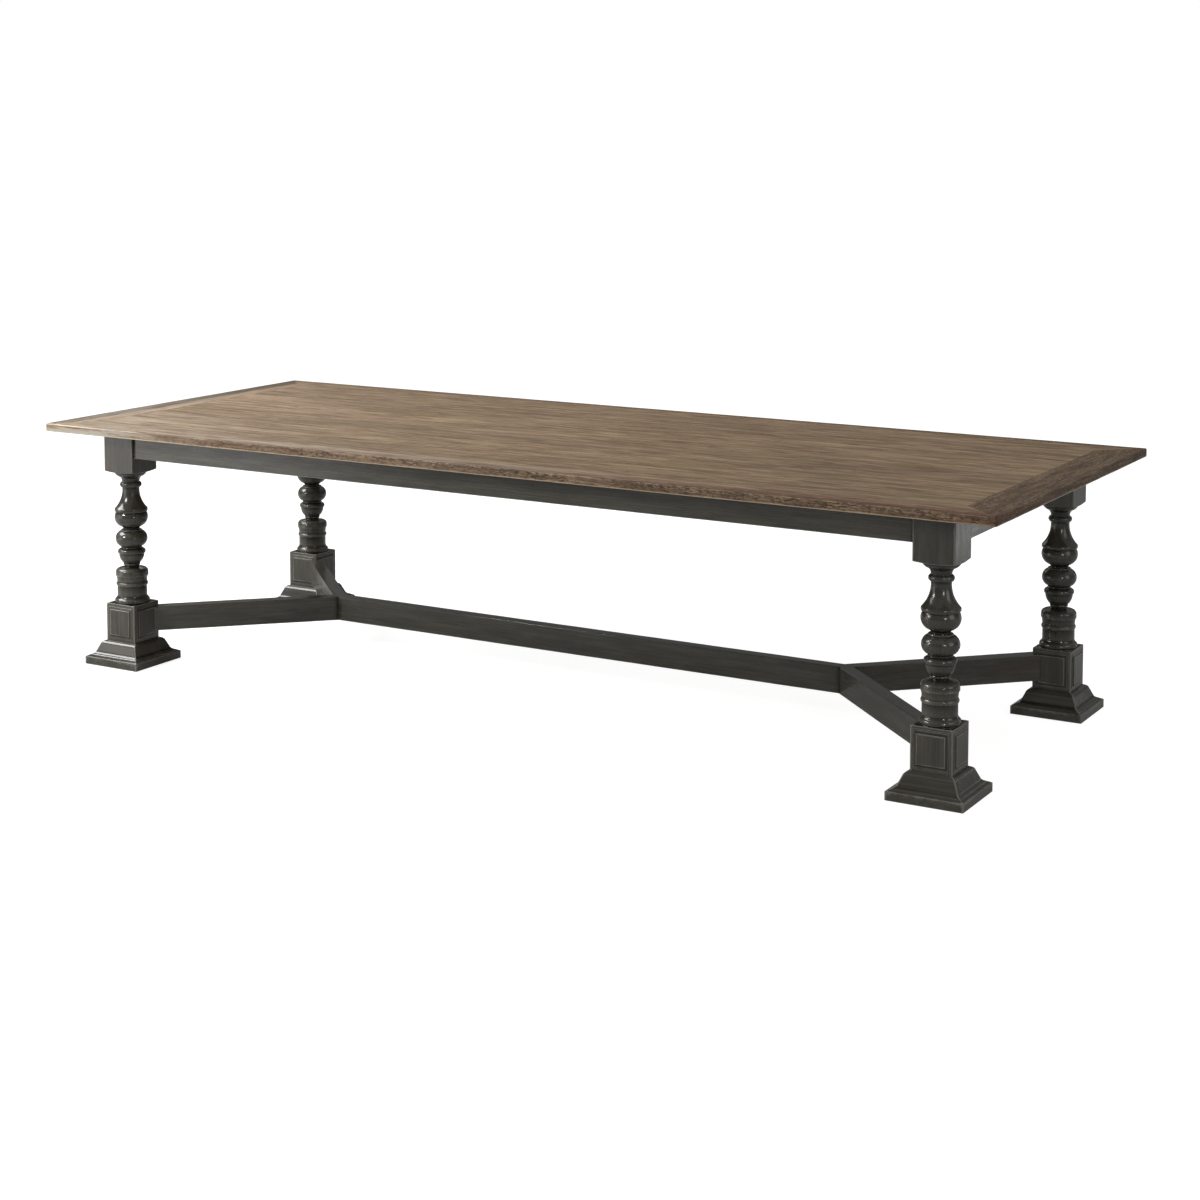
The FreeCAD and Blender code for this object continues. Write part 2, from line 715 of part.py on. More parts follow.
arm_board = prism(
    "arm_board",
    "XY",
    (
        (f"{LEG_X} - {HALF_BLOCK}", f"-{LEG_Y} + {HALF_BLOCK} - {ARM_SIDE}"),
        (f"{LEG_X} - {HALF_BLOCK}", f"-{LEG_Y} + {HALF_BLOCK}"),
        (f"{LEG_X} - {HALF_BLOCK} + {ARM_SIDE}", f"-{LEG_Y} + {HALF_BLOCK}"),
        (f"{FORK_X} + {ARM_SIDE}", "0"),
        (FORK_X, "0"),
        (SEAM_X, f"-{HALF_BEAM}"),
    ),
    *stretcher_z,
)
arm_tenon = prism(
    "arm_tenon",
    "XY",
    (
        (f"{LEG_CORNER} - arm_tenon_length", "-arm_tenon_thickness / 2"),
        (f"{LEG_CORNER} + arm_tenon_length", "-arm_tenon_thickness / 2"),
        (f"{LEG_CORNER} + arm_tenon_length", "arm_tenon_thickness / 2"),
        (f"{LEG_CORNER} - arm_tenon_length", "arm_tenon_thickness / 2"),
    ),
    f"{ARM_Z} - arm_tenon_height / 2",
    f"{ARM_Z} + arm_tenon_height / 2",
    at=AT_LEG,
    turn=BRACE_TURN,
)
arm = cut("stretcher_arm", join("arm_wood", [arm_board, arm_tenon]), stretcher_dowels)
arms = four_corners("stretcher_arm", arm)

# Legs: a square blank, turned between its blocks, with a spigot below


def plane_of(body, role):
    """A body's own origin plane."""
    return next(feature for feature in body.Origin.OriginFeatures if feature.Role == role)


def body_sketch(body, name, role, lift=None):
    """A sketch attached to one of a body's origin planes, lifted off it where that is given."""
    sketch = body.newObject("Sketcher::SketchObject", name)
    sketch.AttachmentSupport = (plane_of(body, role), [""])
    sketch.MapMode = "FlatFace"
    if lift is not None:
        sketch.setExpression("AttachmentOffset.Base.z", bind(lift))
    return sketch


def square_outline(half, arris):
    """A square with its corners taken off."""
    inner = f"({half}) - {arris}"
    outline = []
    for turn_x, turn_y in ((1, 1), (-1, 1), (-1, -1), (1, -1)):
        long_x = (f"{turn_x} * ({half})", f"{turn_y} * ({inner})")
        long_y = (f"{turn_x} * ({inner})", f"{turn_y} * ({half})")
        outline += [long_x, long_y] if turn_x == turn_y else [long_y, long_x]
    return outline


leg_body = doc.addObject("PartDesign::Body", "leg_turned")
place(leg_body, *AT_LEG)
blank_sketch = body_sketch(leg_body, "leg_blank_square", "XY_Plane", PLINTH_TOP)
draw_outline(blank_sketch, square_outline(HALF_BLOCK, "block_arris"))
leg_blank = leg_body.newObject("PartDesign::Pad", "leg_blank")
leg_blank.Profile = blank_sketch
leg_blank.setExpression("Length", bind(f"{TOP_UNDERSIDE} - {PLINTH_TOP}"))

CLEAR_OF_CORNERS = f"({LEG_CORNER} + {TOOL_OVERRUN})"
turning = [(CLEAR_OF_CORNERS, BLOCK_TOP)]
for mark, *_ in STORY_STICK:
    turning.append(
        (
            f"{HALF_BLOCK} * {mark}_radius_share",
            f"{BLOCK_TOP} + {TURNED_LENGTH} * {mark}_height_share",
            f"{mark}_swell_share",
        )
    )
TURNED_TOP = f"{BLOCK_TOP} + {TURNED_LENGTH}"
turning += [(LEG_CORNER, TURNED_TOP), (CLEAR_OF_CORNERS, TURNED_TOP)]
turning_sketch = body_sketch(leg_body, "leg_turning_outline", "XZ_Plane")
draw_outline(turning_sketch, turning)
leg_turning = leg_body.newObject("PartDesign::Groove", "leg_turning")
leg_turning.Profile = turning_sketch
leg_turning.ReferenceAxis = (turning_sketch, ["V_Axis"])
leg_turning.Angle = 360

spigot_sketch = body_sketch(leg_body, "leg_spigot_circle", "XY_Plane", PLINTH_TOP)
spigot_sketch.addGeometry(Part.Circle(Vector(), UPRIGHT, value("spigot_diameter / 2")), False)
spigot_sketch.addConstraint(Sketcher.Constraint("Coincident", 0, 3, -1, 1))
spigot_radius = spigot_sketch.addConstraint(
    Sketcher.Constraint("Radius", 0, value("spigot_diameter / 2"))
)
spigot_sketch.setExpression(f"Constraints[{spigot_radius}]", bind("spigot_diameter / 2"))
leg_spigot = leg_body.newObject("PartDesign::Pad", "leg_spigot")
leg_spigot.Profile = spigot_sketch
leg_spigot.Reversed = True
leg_spigot.setExpression("Length", bind("plinth_height + spigot_grip"))

long_mortise = box(
    "leg_long_mortise",
    (f"{LEG_X} - {HALF_BLOCK}", f"{LEG_X} - {HALF_BLOCK} + apron_tenon_length"),
    (
        f"-{LEG_Y} - {APRON_MIDDLE} - apron_tenon_thickness / 2",
        f"-{LEG_Y} - {APRON_MIDDLE} + apron_tenon_thickness / 2",
    ),
    (f"{APRON_Z} - apron_tenon_height / 2", f"{APRON_Z} + apron_tenon_height / 2"),
)
short_mortise = box(
    "leg_short_mortise",
    (
        f"{LEG_X} + {APRON_MIDDLE} - apron_tenon_thickness / 2",
        f"{LEG_X} + {APRON_MIDDLE} + apron_tenon_thickness / 2",
    ),
    (f"-{LEG_Y} + {HALF_BLOCK} - apron_tenon_length", f"-{LEG_Y} + {HALF_BLOCK}"),
    (f"{APRON_Z} - apron_tenon_height / 2", f"{APRON_Z} + apron_tenon_height / 2"),
)
leg_cutters = group("leg_cutters", [long_mortise, short_mortise, arm_tenon, bolt_pair])
leg = cut("leg", leg_body, leg_cutters)
legs = four_corners("leg", leg)

# Raised panels on the four faces of the pedestal block. The two inner ones are coped over the arm.

PANEL_OUT = f"({HALF_BLOCK} + panel_rise)"


def panel_section(low, high):
    """A raised panel's section across its face, from the block's face outwards."""
    return (
        (HALF_BLOCK, low),
        (f"{HALF_BLOCK} + panel_step", low, PANEL_SWELL_SHARE),
        (PANEL_OUT, f"({low}) + panel_slope_width"),
        (PANEL_OUT, f"({high}) - panel_slope_width", PANEL_SWELL_SHARE),
        (f"{HALF_BLOCK} + panel_step", high),
        (HALF_BLOCK, high),
    )


def raised_panel(name, turn):
    """A panel on the face of the block that the turn brings round."""
    half_panel = f"({HALF_BLOCK} - panel_margin)"
    panel_z = (f"{PLINTH_TOP} + panel_margin", f"{BLOCK_TOP} - panel_margin")
    across = prism(
        f"{name}_across", "XY", panel_section(f"-{half_panel}", half_panel), *panel_z, at=AT_LEG, turn=turn
    )
    upright = prism(
        f"{name}_upright", "XZ", panel_section(*panel_z), f"-{half_panel}", half_panel, at=AT_LEG, turn=turn
    )
    return common(name, across, upright)


outer_panels = [raised_panel("panel_end", 0), raised_panel("panel_front", -90)]
inner_panels = [
    cut("panel_coped_back", raised_panel("panel_back", 90), arm_board),
    cut("panel_coped_inner", raised_panel("panel_inner", 180), arm_board),
]
panels = four_corners("block_panels", group("block_panels", outer_panels + inner_panels))

# Plinths and foot slabs: one outline worked along all four sides, so the corners mitre

OVERHANG = f"(slab_width / 2 - {HALF_BLOCK})"


def left_image(right_side):
    """The same side on the left, run downwards, where each run keeps its swell."""
    swells = [0, *(swell for _, _, swell in right_side[:-1])]
    side = [(f"-({across})", up, swell) for (across, up, _), swell in zip(right_side, swells)]
    return side[::-1]


def four_sided(name, right_side):
    """A block with one outline, given for its right side, on all four sides of a leg's foot."""
    outline = [*right_side, *left_image(right_side)]
    reach = f"(slab_width / 2 + {TOOL_OVERRUN})"
    one = prism(f"{name}_long", "XZ", outline, f"-{reach}", reach, at=AT_LEG)
    other = prism(f"{name}_cross", "YZ", outline, f"-{reach}", reach, at=AT_LEG)
    return common(name, one, other)


plinth_side = [
    (
        f"{HALF_BLOCK} + {OVERHANG} * {mark}_out_share",
        f"{SLAB_TOP} + plinth_height * {mark}_up_share",
        f"{mark}_swell_share",
    )
    for mark, *_ in PLINTH_MARKS
]
plinth_side.append((HALF_BLOCK, PLINTH_TOP, 0))
plinth_wood = four_sided("plinth_wood", plinth_side)
plinth = cut("plinth", plinth_wood, leg_body)
plinths = four_corners("plinth", plinth)

slab_side = [
    ("slab_width / 2", "glide_stand", 0),
    ("slab_width / 2", f"{SLAB_TOP} - slab_bevel_height", 0),
    ("slab_width / 2 - slab_bevel_width", SLAB_TOP, 0),
]
slab_wood = four_sided("slab_wood", slab_side)

glides = []
GLIDE_REACH = "(slab_width / 2 - glide_inset)"
for column in (-1, 1):
    for row in (-1, 1):
        number = len(glides) + 1
        spot = (f"{LEG_X} + {column} * {GLIDE_REACH}", f"-{LEG_Y} + {row} * {GLIDE_REACH}")
        disc = rod(
            f"glide_disc_{number}", "glide_diameter", "glide_stand + glide_recess", (*spot, "0"), UPRIGHT
        )
        pin = rod(
            f"glide_pin_{number}",
            "glide_pin_diameter",
            "glide_stand + glide_recess + glide_pin_length",
            (*spot, "0"),
            UPRIGHT,
        )
        glides.append(join(f"glide_{number}", [disc, pin]))
glide_set = group("glide_set", glides)
floor_glides = group("floor_glides", four_corners("glide_set", glide_set))
foot_fittings = group("foot_fittings", [leg_body, glide_set])
foot_slabs = four_corners("foot_slab", cut("foot_slab", slab_wood, foot_fittings))

# Every piece of the table, by name

PIECES = [
    *planks,
    board_front,
    board_back,
    board_left,
    board_right,
    top_seam_tongues,
    top_end_tongues,
    top_mitre_splines,
    apron_front,
    apron_back,
    apron_left,
    apron_right,
    *cross_rails,
    top_buttons,
    *braces,
    hanger_bolts,
    brace_washers,
    brace_nuts,
    *legs,
    *panels,
    *plinths,
    *foot_slabs,
    floor_glides,
    stretcher_beam,
    *arms,
    stretcher_dowels,
]

doc.recompute()


def check_document():
    """Stop if any object failed or any piece has no sound shape, and if a cut removed nothing."""
    failed = [item.Label for item in doc.Objects if {"Invalid", "Error"} & set(item.State)]
    failed += [piece.Label for piece in PIECES if piece.Shape.isNull() or not piece.Shape.isValid()]
    idle = [
        item.Label
        for item in doc.Objects
        if item.TypeId == "Part::Cut" and item.Base.Shape.Volume - item.Shape.Volume < 1e-3
    ]
    if leg_turning.Shape.Volume >= leg_blank.Shape.Volume:
        idle.append(leg_turning.Label)
    if failed or idle:
        raise RuntimeError(f"unsound: {failed}, cuts that took nothing: {idle}")


check_document()
os.makedirs("parts", exist_ok=True)
for piece in PIECES:
    piece.Shape.exportStep(f"parts/{piece.Label}.step")
print(f"{len(PIECES)} pieces written")
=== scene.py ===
# %% [markdown]
# # A weathered refectory table
#
# The table is a top of four planks in a mitred border, on turned and painted legs that a forked
# stretcher ties together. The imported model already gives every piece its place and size. Here the
# pieces that show get what a maker's hand and years of use give them: eased and uneven arrises,
# oak with its figure, and paint that has rubbed through where people touch it.

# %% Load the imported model
import math

import bpy
import numpy as np
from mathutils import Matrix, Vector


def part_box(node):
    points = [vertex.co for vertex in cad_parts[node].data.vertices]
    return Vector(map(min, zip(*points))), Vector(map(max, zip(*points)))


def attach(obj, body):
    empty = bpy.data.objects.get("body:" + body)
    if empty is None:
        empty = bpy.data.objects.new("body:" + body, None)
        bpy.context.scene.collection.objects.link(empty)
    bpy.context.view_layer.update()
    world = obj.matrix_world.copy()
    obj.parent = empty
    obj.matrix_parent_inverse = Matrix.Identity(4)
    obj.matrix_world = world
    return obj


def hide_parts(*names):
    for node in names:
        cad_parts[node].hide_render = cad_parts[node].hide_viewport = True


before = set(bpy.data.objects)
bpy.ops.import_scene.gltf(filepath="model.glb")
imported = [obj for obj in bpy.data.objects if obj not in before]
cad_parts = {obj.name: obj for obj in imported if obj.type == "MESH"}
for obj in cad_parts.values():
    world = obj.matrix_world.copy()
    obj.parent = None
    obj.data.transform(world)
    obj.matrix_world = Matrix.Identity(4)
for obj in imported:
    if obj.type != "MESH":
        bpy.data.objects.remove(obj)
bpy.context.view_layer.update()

MM = 0.001
print("packed nodes:", len(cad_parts))

# %% [markdown]
# ## Sizes to work from
#
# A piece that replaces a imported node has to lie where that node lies, so its sizes are read from
# the node's own box and nothing is typed twice. `corner_of` gives a box as two plain arrays.

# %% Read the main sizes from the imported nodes
def corner_of(node):
    """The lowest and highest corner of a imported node, as arrays in metres."""
    low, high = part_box(node)
    return np.array(low), np.array(high)


FIELD_LOW, _ = corner_of("top_plank_1")
_, FIELD_HIGH = corner_of("top_plank_4")
_, BOARD_HIGH = corner_of("top_side_board_back")
TOP_Z, UNDER_Z = FIELD_HIGH[2], FIELD_LOW[2]
HALF_LENGTH, HALF_WIDTH = BOARD_HIGH[0], BOARD_HIGH[1]
_, PLINTH_HIGH = corner_of("plinth_back_right")
SLAB_LOW, SLAB_HIGH = corner_of("foot_slab_back_right")
LEG_X, LEG_Y = (SLAB_LOW[:2] + SLAB_HIGH[:2]) / 2
PLINTH_Z, BLOCK_Z = SLAB_HIGH[2], PLINTH_HIGH[2]
HALF_SLAB = SLAB_HIGH[0] - LEG_X
LEG_LOW, LEG_HIGH = corner_of("leg_back_right")
HALF_BLOCK = (LEG_HIGH[0] - LEG_LOW[0]) / 2
CORNERS = [
    (f"{side}_{end}", sign_x * LEG_X, sign_y * LEG_Y)
    for side, sign_y in (("front", -1), ("back", 1))
    for end, sign_x in (("left", -1), ("right", 1))
]
print(f"top {2 * HALF_LENGTH:.3f} by {2 * HALF_WIDTH:.3f} m, legs at {LEG_X:.3f}, {LEG_Y:.3f} m")

# %% [markdown]
# ## Node trees in a few words
#
# A material is a graph of small nodes. A few helpers keep the graphs readable. `feed` links or sets
# one socket, `add` makes a node and feeds it, `calc` is one step of arithmetic, and `ease` turns a
# range of a value into a soft step. `cloud` is soft noise, and `laid` lays one colour over another
# where a mask lets it. With these a finish reads like a list of coats.

# %% Helpers for node trees
def feed(tree, socket, given):
    """Link a socket to another one, or set it to a plain value."""
    if isinstance(given, bpy.types.NodeSocket):
        tree.links.new(given, socket)
    else:
        socket.default_value = given


def add(tree, kind, inputs=None, **settings):
    """A new shader node, with its settings and its inputs by name or number."""
    made = tree.nodes.new(f"ShaderNode{kind}")
    for name, setting in settings.items():
        setattr(made, name, setting)
    for name, given in (inputs or {}).items():
        feed(tree, made.inputs[name], given)
    return made


def calc(tree, operation, *values):
    """One step of arithmetic on numbers or sockets."""
    return add(tree, "Math", dict(enumerate(values)), operation=operation).outputs[0]


def ease(tree, given, low, high, floor=0.0, roof=1.0):
    """A soft step: floor below low, roof above high, and a smooth rise between."""
    inputs = {"Value": given, "From Min": low, "From Max": high, "To Min": floor, "To Max": roof}
    return add(tree, "MapRange", inputs, interpolation_type="SMOOTHSTEP").outputs[0]


def stretched(tree, vector, factors):
    """The same place measured in other units along each axis."""
    scaled = add(tree, "VectorMath", {0: vector, 1: factors}, operation="MULTIPLY")
    return scaled.outputs[0]


def cloud(tree, vector, factors, detail=3.0, rough=0.55, twist=0.0):
    """Soft noise from nought to one, stretched by the factors, in patches per metre."""
    inputs = {
        "Vector": stretched(tree, vector, factors),
        "Scale": 1.0,
        "Detail": detail,
        "Roughness": rough,
        "Distortion": twist,
    }
    return add(tree, "TexNoise", inputs).outputs["Fac"]


def tint(tree, share, one, other, mode="MIX"):
    """Mix two colours by a share."""
    mix = add(tree, "Mix", data_type="RGBA", blend_type=mode)
    for number, given in ((0, share), (6, one), (7, other)):
        feed(tree, mix.inputs[number], given)
    return mix.outputs[2]


def laid(tree, base, colour, mask, share):
    """A colour laid over a base where a mask lets it, at a share of the mask's strength."""
    return tint(tree, calc(tree, "MULTIPLY", mask, share), base, colour)


def summed(tree, one, one_share, other, other_share):
    """Two values added, each at its own share."""
    parts = [calc(tree, "MULTIPLY", one, one_share), calc(tree, "MULTIPLY", other, other_share)]
    return calc(tree, "ADD", *parts)


print("node helpers ready")

# %% Helpers for node groups
def new_group(name, inputs, outputs):
    """An empty node group with named inputs and outputs, and its two ends."""
    tree = bpy.data.node_groups.new(name, "ShaderNodeTree")
    for label, (kind, default) in inputs.items():
        socket = tree.interface.new_socket(label, in_out="INPUT", socket_type=f"NodeSocket{kind}")
        if default is not None:
            socket.default_value = default
    for label in outputs:
        tree.interface.new_socket(label, in_out="OUTPUT", socket_type="NodeSocketFloat")
    ends = tree.nodes.new("NodeGroupInput"), tree.nodes.new("NodeGroupOutput")
    return tree, ends[0].outputs, ends[1].inputs


def use_group(tree, group, inputs):
    """Place a node group in a tree and feed its inputs. The outputs come back by name."""
    placed = tree.nodes.new("ShaderNodeGroup")
    placed.node_tree = group
    for name, given in inputs.items():
        feed(tree, placed.inputs[name], given)
    return placed.outputs


print("group helpers ready")

# %% [markdown]
# ## Oak as it grows
#
# Painted-on stripes never meet at a board's edge. Real figure does, because a board is a cut
# through a log. So each piece carries a `log` attribute, the place of every point in the log that
# it was sawn from: x runs along the trunk, and the pith lies on y = z = 0. The rings are then the
# distance to the pith. A board whose log is slightly tilted shows cathedral arches on its face,
# fine lines on its edge and arcs on its end, as the real one does.

# %% The group that turns a place in the log into figure
KNOT_REACH = 26 * MM
KNOT_RINGS = 5.0
NO_KNOT = (0.0, 0.0, 50.0)  # so far off that it has no effect


def build_oak_figure():
    """Rings: distance to the pith over the ring width, warped, as a sawtooth with a steep start.
    Pores: short dashes along the trunk, thickest where a ring starts. Streaks: soft bands along
    the trunk, half of them broad and half fine. Rays: bright flecks that lie across the rings. Near
    a knot the count of rings climbs by n exp(-distance / reach), which closes the rings round it."""
    inputs = {
        "Log": ("Vector", None),
        "Ring Width": ("Float", 0.003),
        "Warp": ("Float", 0.006),
        "Ring Wander": ("Float", 1.5),
        "Knot": ("Vector", None),
    }
    tree, given, made = new_group("oak figure", inputs, ("Rings", "Pores", "Streaks", "Rays"))
    log = given["Log"]
    noise = {"Vector": stretched(tree, log, (2.2, 11.0, 11.0)), "Scale": 1.0, "Detail": 3.0}
    shift = add(tree, "TexNoise", noise).outputs["Color"]
    centred = add(tree, "VectorMath", {0: shift, 1: (0.5, 0.5, 0.5)}, operation="SUBTRACT").outputs[0]
    bent = add(tree, "VectorMath", {0: centred, "Scale": given["Warp"]}, operation="SCALE").outputs[0]
    warped = add(tree, "VectorMath", {0: log, 1: bent}, operation="ADD").outputs[0]
    across = stretched(tree, warped, (0.0, 1.0, 1.0))
    distance = add(tree, "VectorMath", {0: across}, operation="LENGTH").outputs["Value"]
    count = calc(tree, "DIVIDE", distance, given["Ring Width"])
    from_knot = add(tree, "VectorMath", {0: given["Knot"]}, operation="LENGTH").outputs["Value"]
    bulge = calc(tree, "EXPONENT", calc(tree, "MULTIPLY", from_knot, -1 / KNOT_REACH))
    count = calc(tree, "ADD", count, calc(tree, "MULTIPLY", bulge, KNOT_RINGS))
    wander = calc(tree, "MULTIPLY", cloud(tree, log, (0.7, 26.0, 26.0), 2.0), given["Ring Wander"])
    phase = calc(tree, "FRACT", calc(tree, "ADD", count, wander))
    start = ease(tree, phase, 0.0, 0.08)
    rings = calc(tree, "MULTIPLY", start, ease(tree, phase, 0.95, 0.08))

    dashes = cloud(tree, log, (42.0, 1300.0, 1300.0), 2.0, 0.6)
    open_pores = ease(tree, dashes, 0.53, 0.68)
    crowd = ease(tree, rings, 0.15, 0.85, 0.25, 1.0)
    pores = calc(tree, "MULTIPLY", open_pores, crowd)

    broad = cloud(tree, log, (3.5, 44.0, 44.0), 4.0, 0.6)
    fine = cloud(tree, log, (9.0, 120.0, 120.0), 3.0, 0.6)
    flecks = cloud(tree, log, (120.0, 55.0, 420.0), 2.0, 0.5)

    feed(tree, made["Rings"], rings)
    feed(tree, made["Pores"], pores)
    feed(tree, made["Streaks"], summed(tree, broad, 0.5, fine, 0.5))
    feed(tree, made["Rays"], ease(tree, flecks, 0.60, 0.74))
    return tree


OAK_FIGURE = build_oak_figure()
print("node group:", OAK_FIGURE.name)

# %% [markdown]
# ## Wear that follows the shape
#
# Finish goes first where hands, feet and cloths reach it: on arrises and on the crowns of beads. It
# stays, and glaze gathers, in hollows, where the dark is also painted shade. Each new wooden piece
# therefore carries `edge` and `hollow`, worked out from its own outline, and `tone`, which makes it
# paler or darker from place to place, and on the top also paints a pool of light at the near left
# corner. Boards carry three more: `flank` tells their sides from their faces, `knot` is the way from
# a branch, and `rub` marks wood that hands have reddened. This group breaks `edge` up with noise, so
# wear comes in runs and patches and never as an even line.

# %% The group that breaks up wear
def build_wear():
    """Touched: arrises that have lost their first coat. Bare: the part of them down to the wood.
    Patch: broad places on flat faces that a cloth or a shoe has thinned."""
    inputs = {
        "Log": ("Vector", None),
        "Edge": ("Float", 0.0),
        "Amount": ("Float", 0.5),
    }
    tree, given, made = new_group("broken wear", inputs, ("Touched", "Bare", "Patch"))
    log = given["Log"]
    runs = cloud(tree, log, (9.0, 30.0, 30.0), 4.0, 0.65)
    nicks = cloud(tree, log, (90.0, 240.0, 240.0), 3.0, 0.7)
    broken = summed(tree, runs, 0.65, nicks, 0.35)
    reach = calc(tree, "MULTIPLY", given["Edge"], given["Amount"])
    level = calc(tree, "SUBTRACT", calc(tree, "ADD", broken, reach), 1.0)
    feed(tree, made["Touched"], ease(tree, level, -0.16, 0.02))
    feed(tree, made["Bare"], ease(tree, level, 0.02, 0.14))
    feed(tree, made["Patch"], ease(tree, cloud(tree, log, (3.0, 16.0, 16.0), 4.0, 0.6, 0.6), 0.56, 0.72))
    return tree


BROKEN_WEAR = build_wear()
print("node group:", BROKEN_WEAR.name)

# %% [markdown]
# ## The oak of the top
#
# The top is oak that has been limed, waxed and left to grey. Its pores and ring starts are dark,
# the wood between is a warm grey brown, and the finish is thin, so the sheen is soft and broken.
# The rings sink a little and the pores more, and both reach the Bump node as one height.
#
# Four things change from place to place. The outer edge of the top is rough sawn, with dark curls
# and red brown halos round them. The board at the left end has a strip of dark heartwood along its
# outer edge. The near left corner is painted paler and greyer, as a painted pool of light and sheen,
# and its arrises there get a painted highlight. And round the near right corner hands have rubbed the
# wood to a dull red.

# %% Helpers for materials
def blank_material(name):
    """A new material, its node tree and its one Principled shader."""
    material = bpy.data.materials.new(name)
    material.use_nodes = True
    tree = material.node_tree
    shader = tree.nodes["Principled BSDF"]
    return material, tree, shader


def carried(tree, name):
    """An attribute that a piece carries on its points."""
    return add(tree, "Attribute", attribute_name=name, attribute_type="GEOMETRY").outputs


def bump(tree, shader, height, strength, depth):
    """Let a height, in shares of the depth in metres, tilt the light on the surface."""
    inputs = {"Height": height, "Strength": strength, "Distance": depth}
    feed(tree, shader.inputs["Normal"], add(tree, "Bump", inputs).outputs["Normal"])


def times(tree, colour, factor):
    """A colour made lighter or darker by one factor."""
    grey = add(tree, "CombineColor", {0: factor, 1: factor, 2: factor}).outputs[0]
    return tint(tree, 1.0, colour, grey, "MULTIPLY")


print("material helpers ready")

# %% Colours and figure of the oak
OAK_PALE = (0.365, 0.258, 0.157, 1)
OAK_MID = (0.180, 0.116, 0.062, 1)
OAK_DARK = (0.085, 0.053, 0.030, 1)
OAK_PORE = (0.045, 0.029, 0.018, 1)
OAK_ROSY = (0.262, 0.172, 0.112, 1)
OAK_OLIVE = (0.232, 0.168, 0.088, 1)
OAK_BROWN = (0.150, 0.082, 0.046, 1)
# Pale raw wood on worn arrises, also used as a painted highlight along them.
OAK_RAW_AND_HIGHLIGHT = (0.580, 0.460, 0.325, 1)
# A painted pool of light and sheen for the top's near left corner.
OAK_LIT_CORNER = (0.430, 0.390, 0.330, 1)
OAK_RUBBED = (0.110, 0.038, 0.024, 1)
OAK_HEART = (0.062, 0.041, 0.020, 1)
STRIP_WANDER = 30 * MM  # how far a strip's border moves at most, towards the board's outer edge


def waxed_colour(tree, log, oak, figure_strength):
    """The plain wood: streaks, rosy and olive patches, dark lines, rings, stain, rays and pores."""
    wood = tint(tree, ease(tree, oak["Streaks"], 0.42, 0.58), OAK_MID, OAK_PALE)
    hue = cloud(tree, log, (1.6, 7.0, 7.0), 3.0)
    wood = tint(tree, ease(tree, hue, 0.52, 0.68, 0.0, 0.55), wood, OAK_ROSY)
    wood = tint(tree, ease(tree, hue, 0.48, 0.32, 0.0, 0.55), wood, OAK_OLIVE)
    lines = cloud(tree, log, (9.0, 100.0, 100.0), 4.0, 0.65)
    wood = tint(tree, ease(tree, lines, 0.56, 0.66, 0.0, 0.80), wood, OAK_DARK)
    wood = laid(tree, wood, OAK_DARK, oak["Rings"], figure_strength)
    stain = cloud(tree, log, (1.1, 8.0, 8.0), 4.0, 0.6, 0.5)
    wood = times(tree, wood, ease(tree, stain, 0.32, 0.70, 0.84, 1.10))
    wood = laid(tree, wood, OAK_PALE, oak["Rays"], 0.15)
    return laid(tree, wood, OAK_PORE, oak["Pores"], 0.62)


def sawn_curls(tree, log):
    """The rough curly figure of the top's outer edge: dark islands of a twisted noise and a wider
    brown halo round them, in patches that come and go along the edge."""
    twisted = cloud(tree, log, (36.0, 110.0, 110.0), 3.0, 0.60, 2.2)
    patches = ease(tree, cloud(tree, log, (5.0, 25.0, 25.0), 3.0), 0.34, 0.56, 0.45, 1.0)
    dark = calc(tree, "MULTIPLY", ease(tree, twisted, 0.50, 0.57), patches)
    brown = calc(tree, "MULTIPLY", ease(tree, twisted, 0.42, 0.50), patches)
    return dark, brown


def outer_strip(tree, log, strip):
    """One along a board's outer edge and nought further in, with a border that wanders. The strip
    is where it starts and where it is full, across the board, before the wander is added."""
    wander = calc(tree, "MULTIPLY", cloud(tree, log, (3.0, 20.0, 20.0), 3.0), STRIP_WANDER)
    across = calc(tree, "ADD", add(tree, "SeparateXYZ", {0: log}).outputs["Y"], wander)
    return ease(tree, across, *strip)


print("oak colours ready")

# %% Materials of the top
LIT_CORNER, LIT_CORNER_REACH = 0.30, 400 * MM  # how much paler the near left corner is painted, as a painted pool of light, and how far
# Where the strip of the left end board, and of the side boards, starts and where it is full,
# across the board from its middle. The outer edge is on the negative side.
LEFT_STRIP, SIDE_STRIP = (28 * MM, 12 * MM), (2 * MM, -18 * MM)


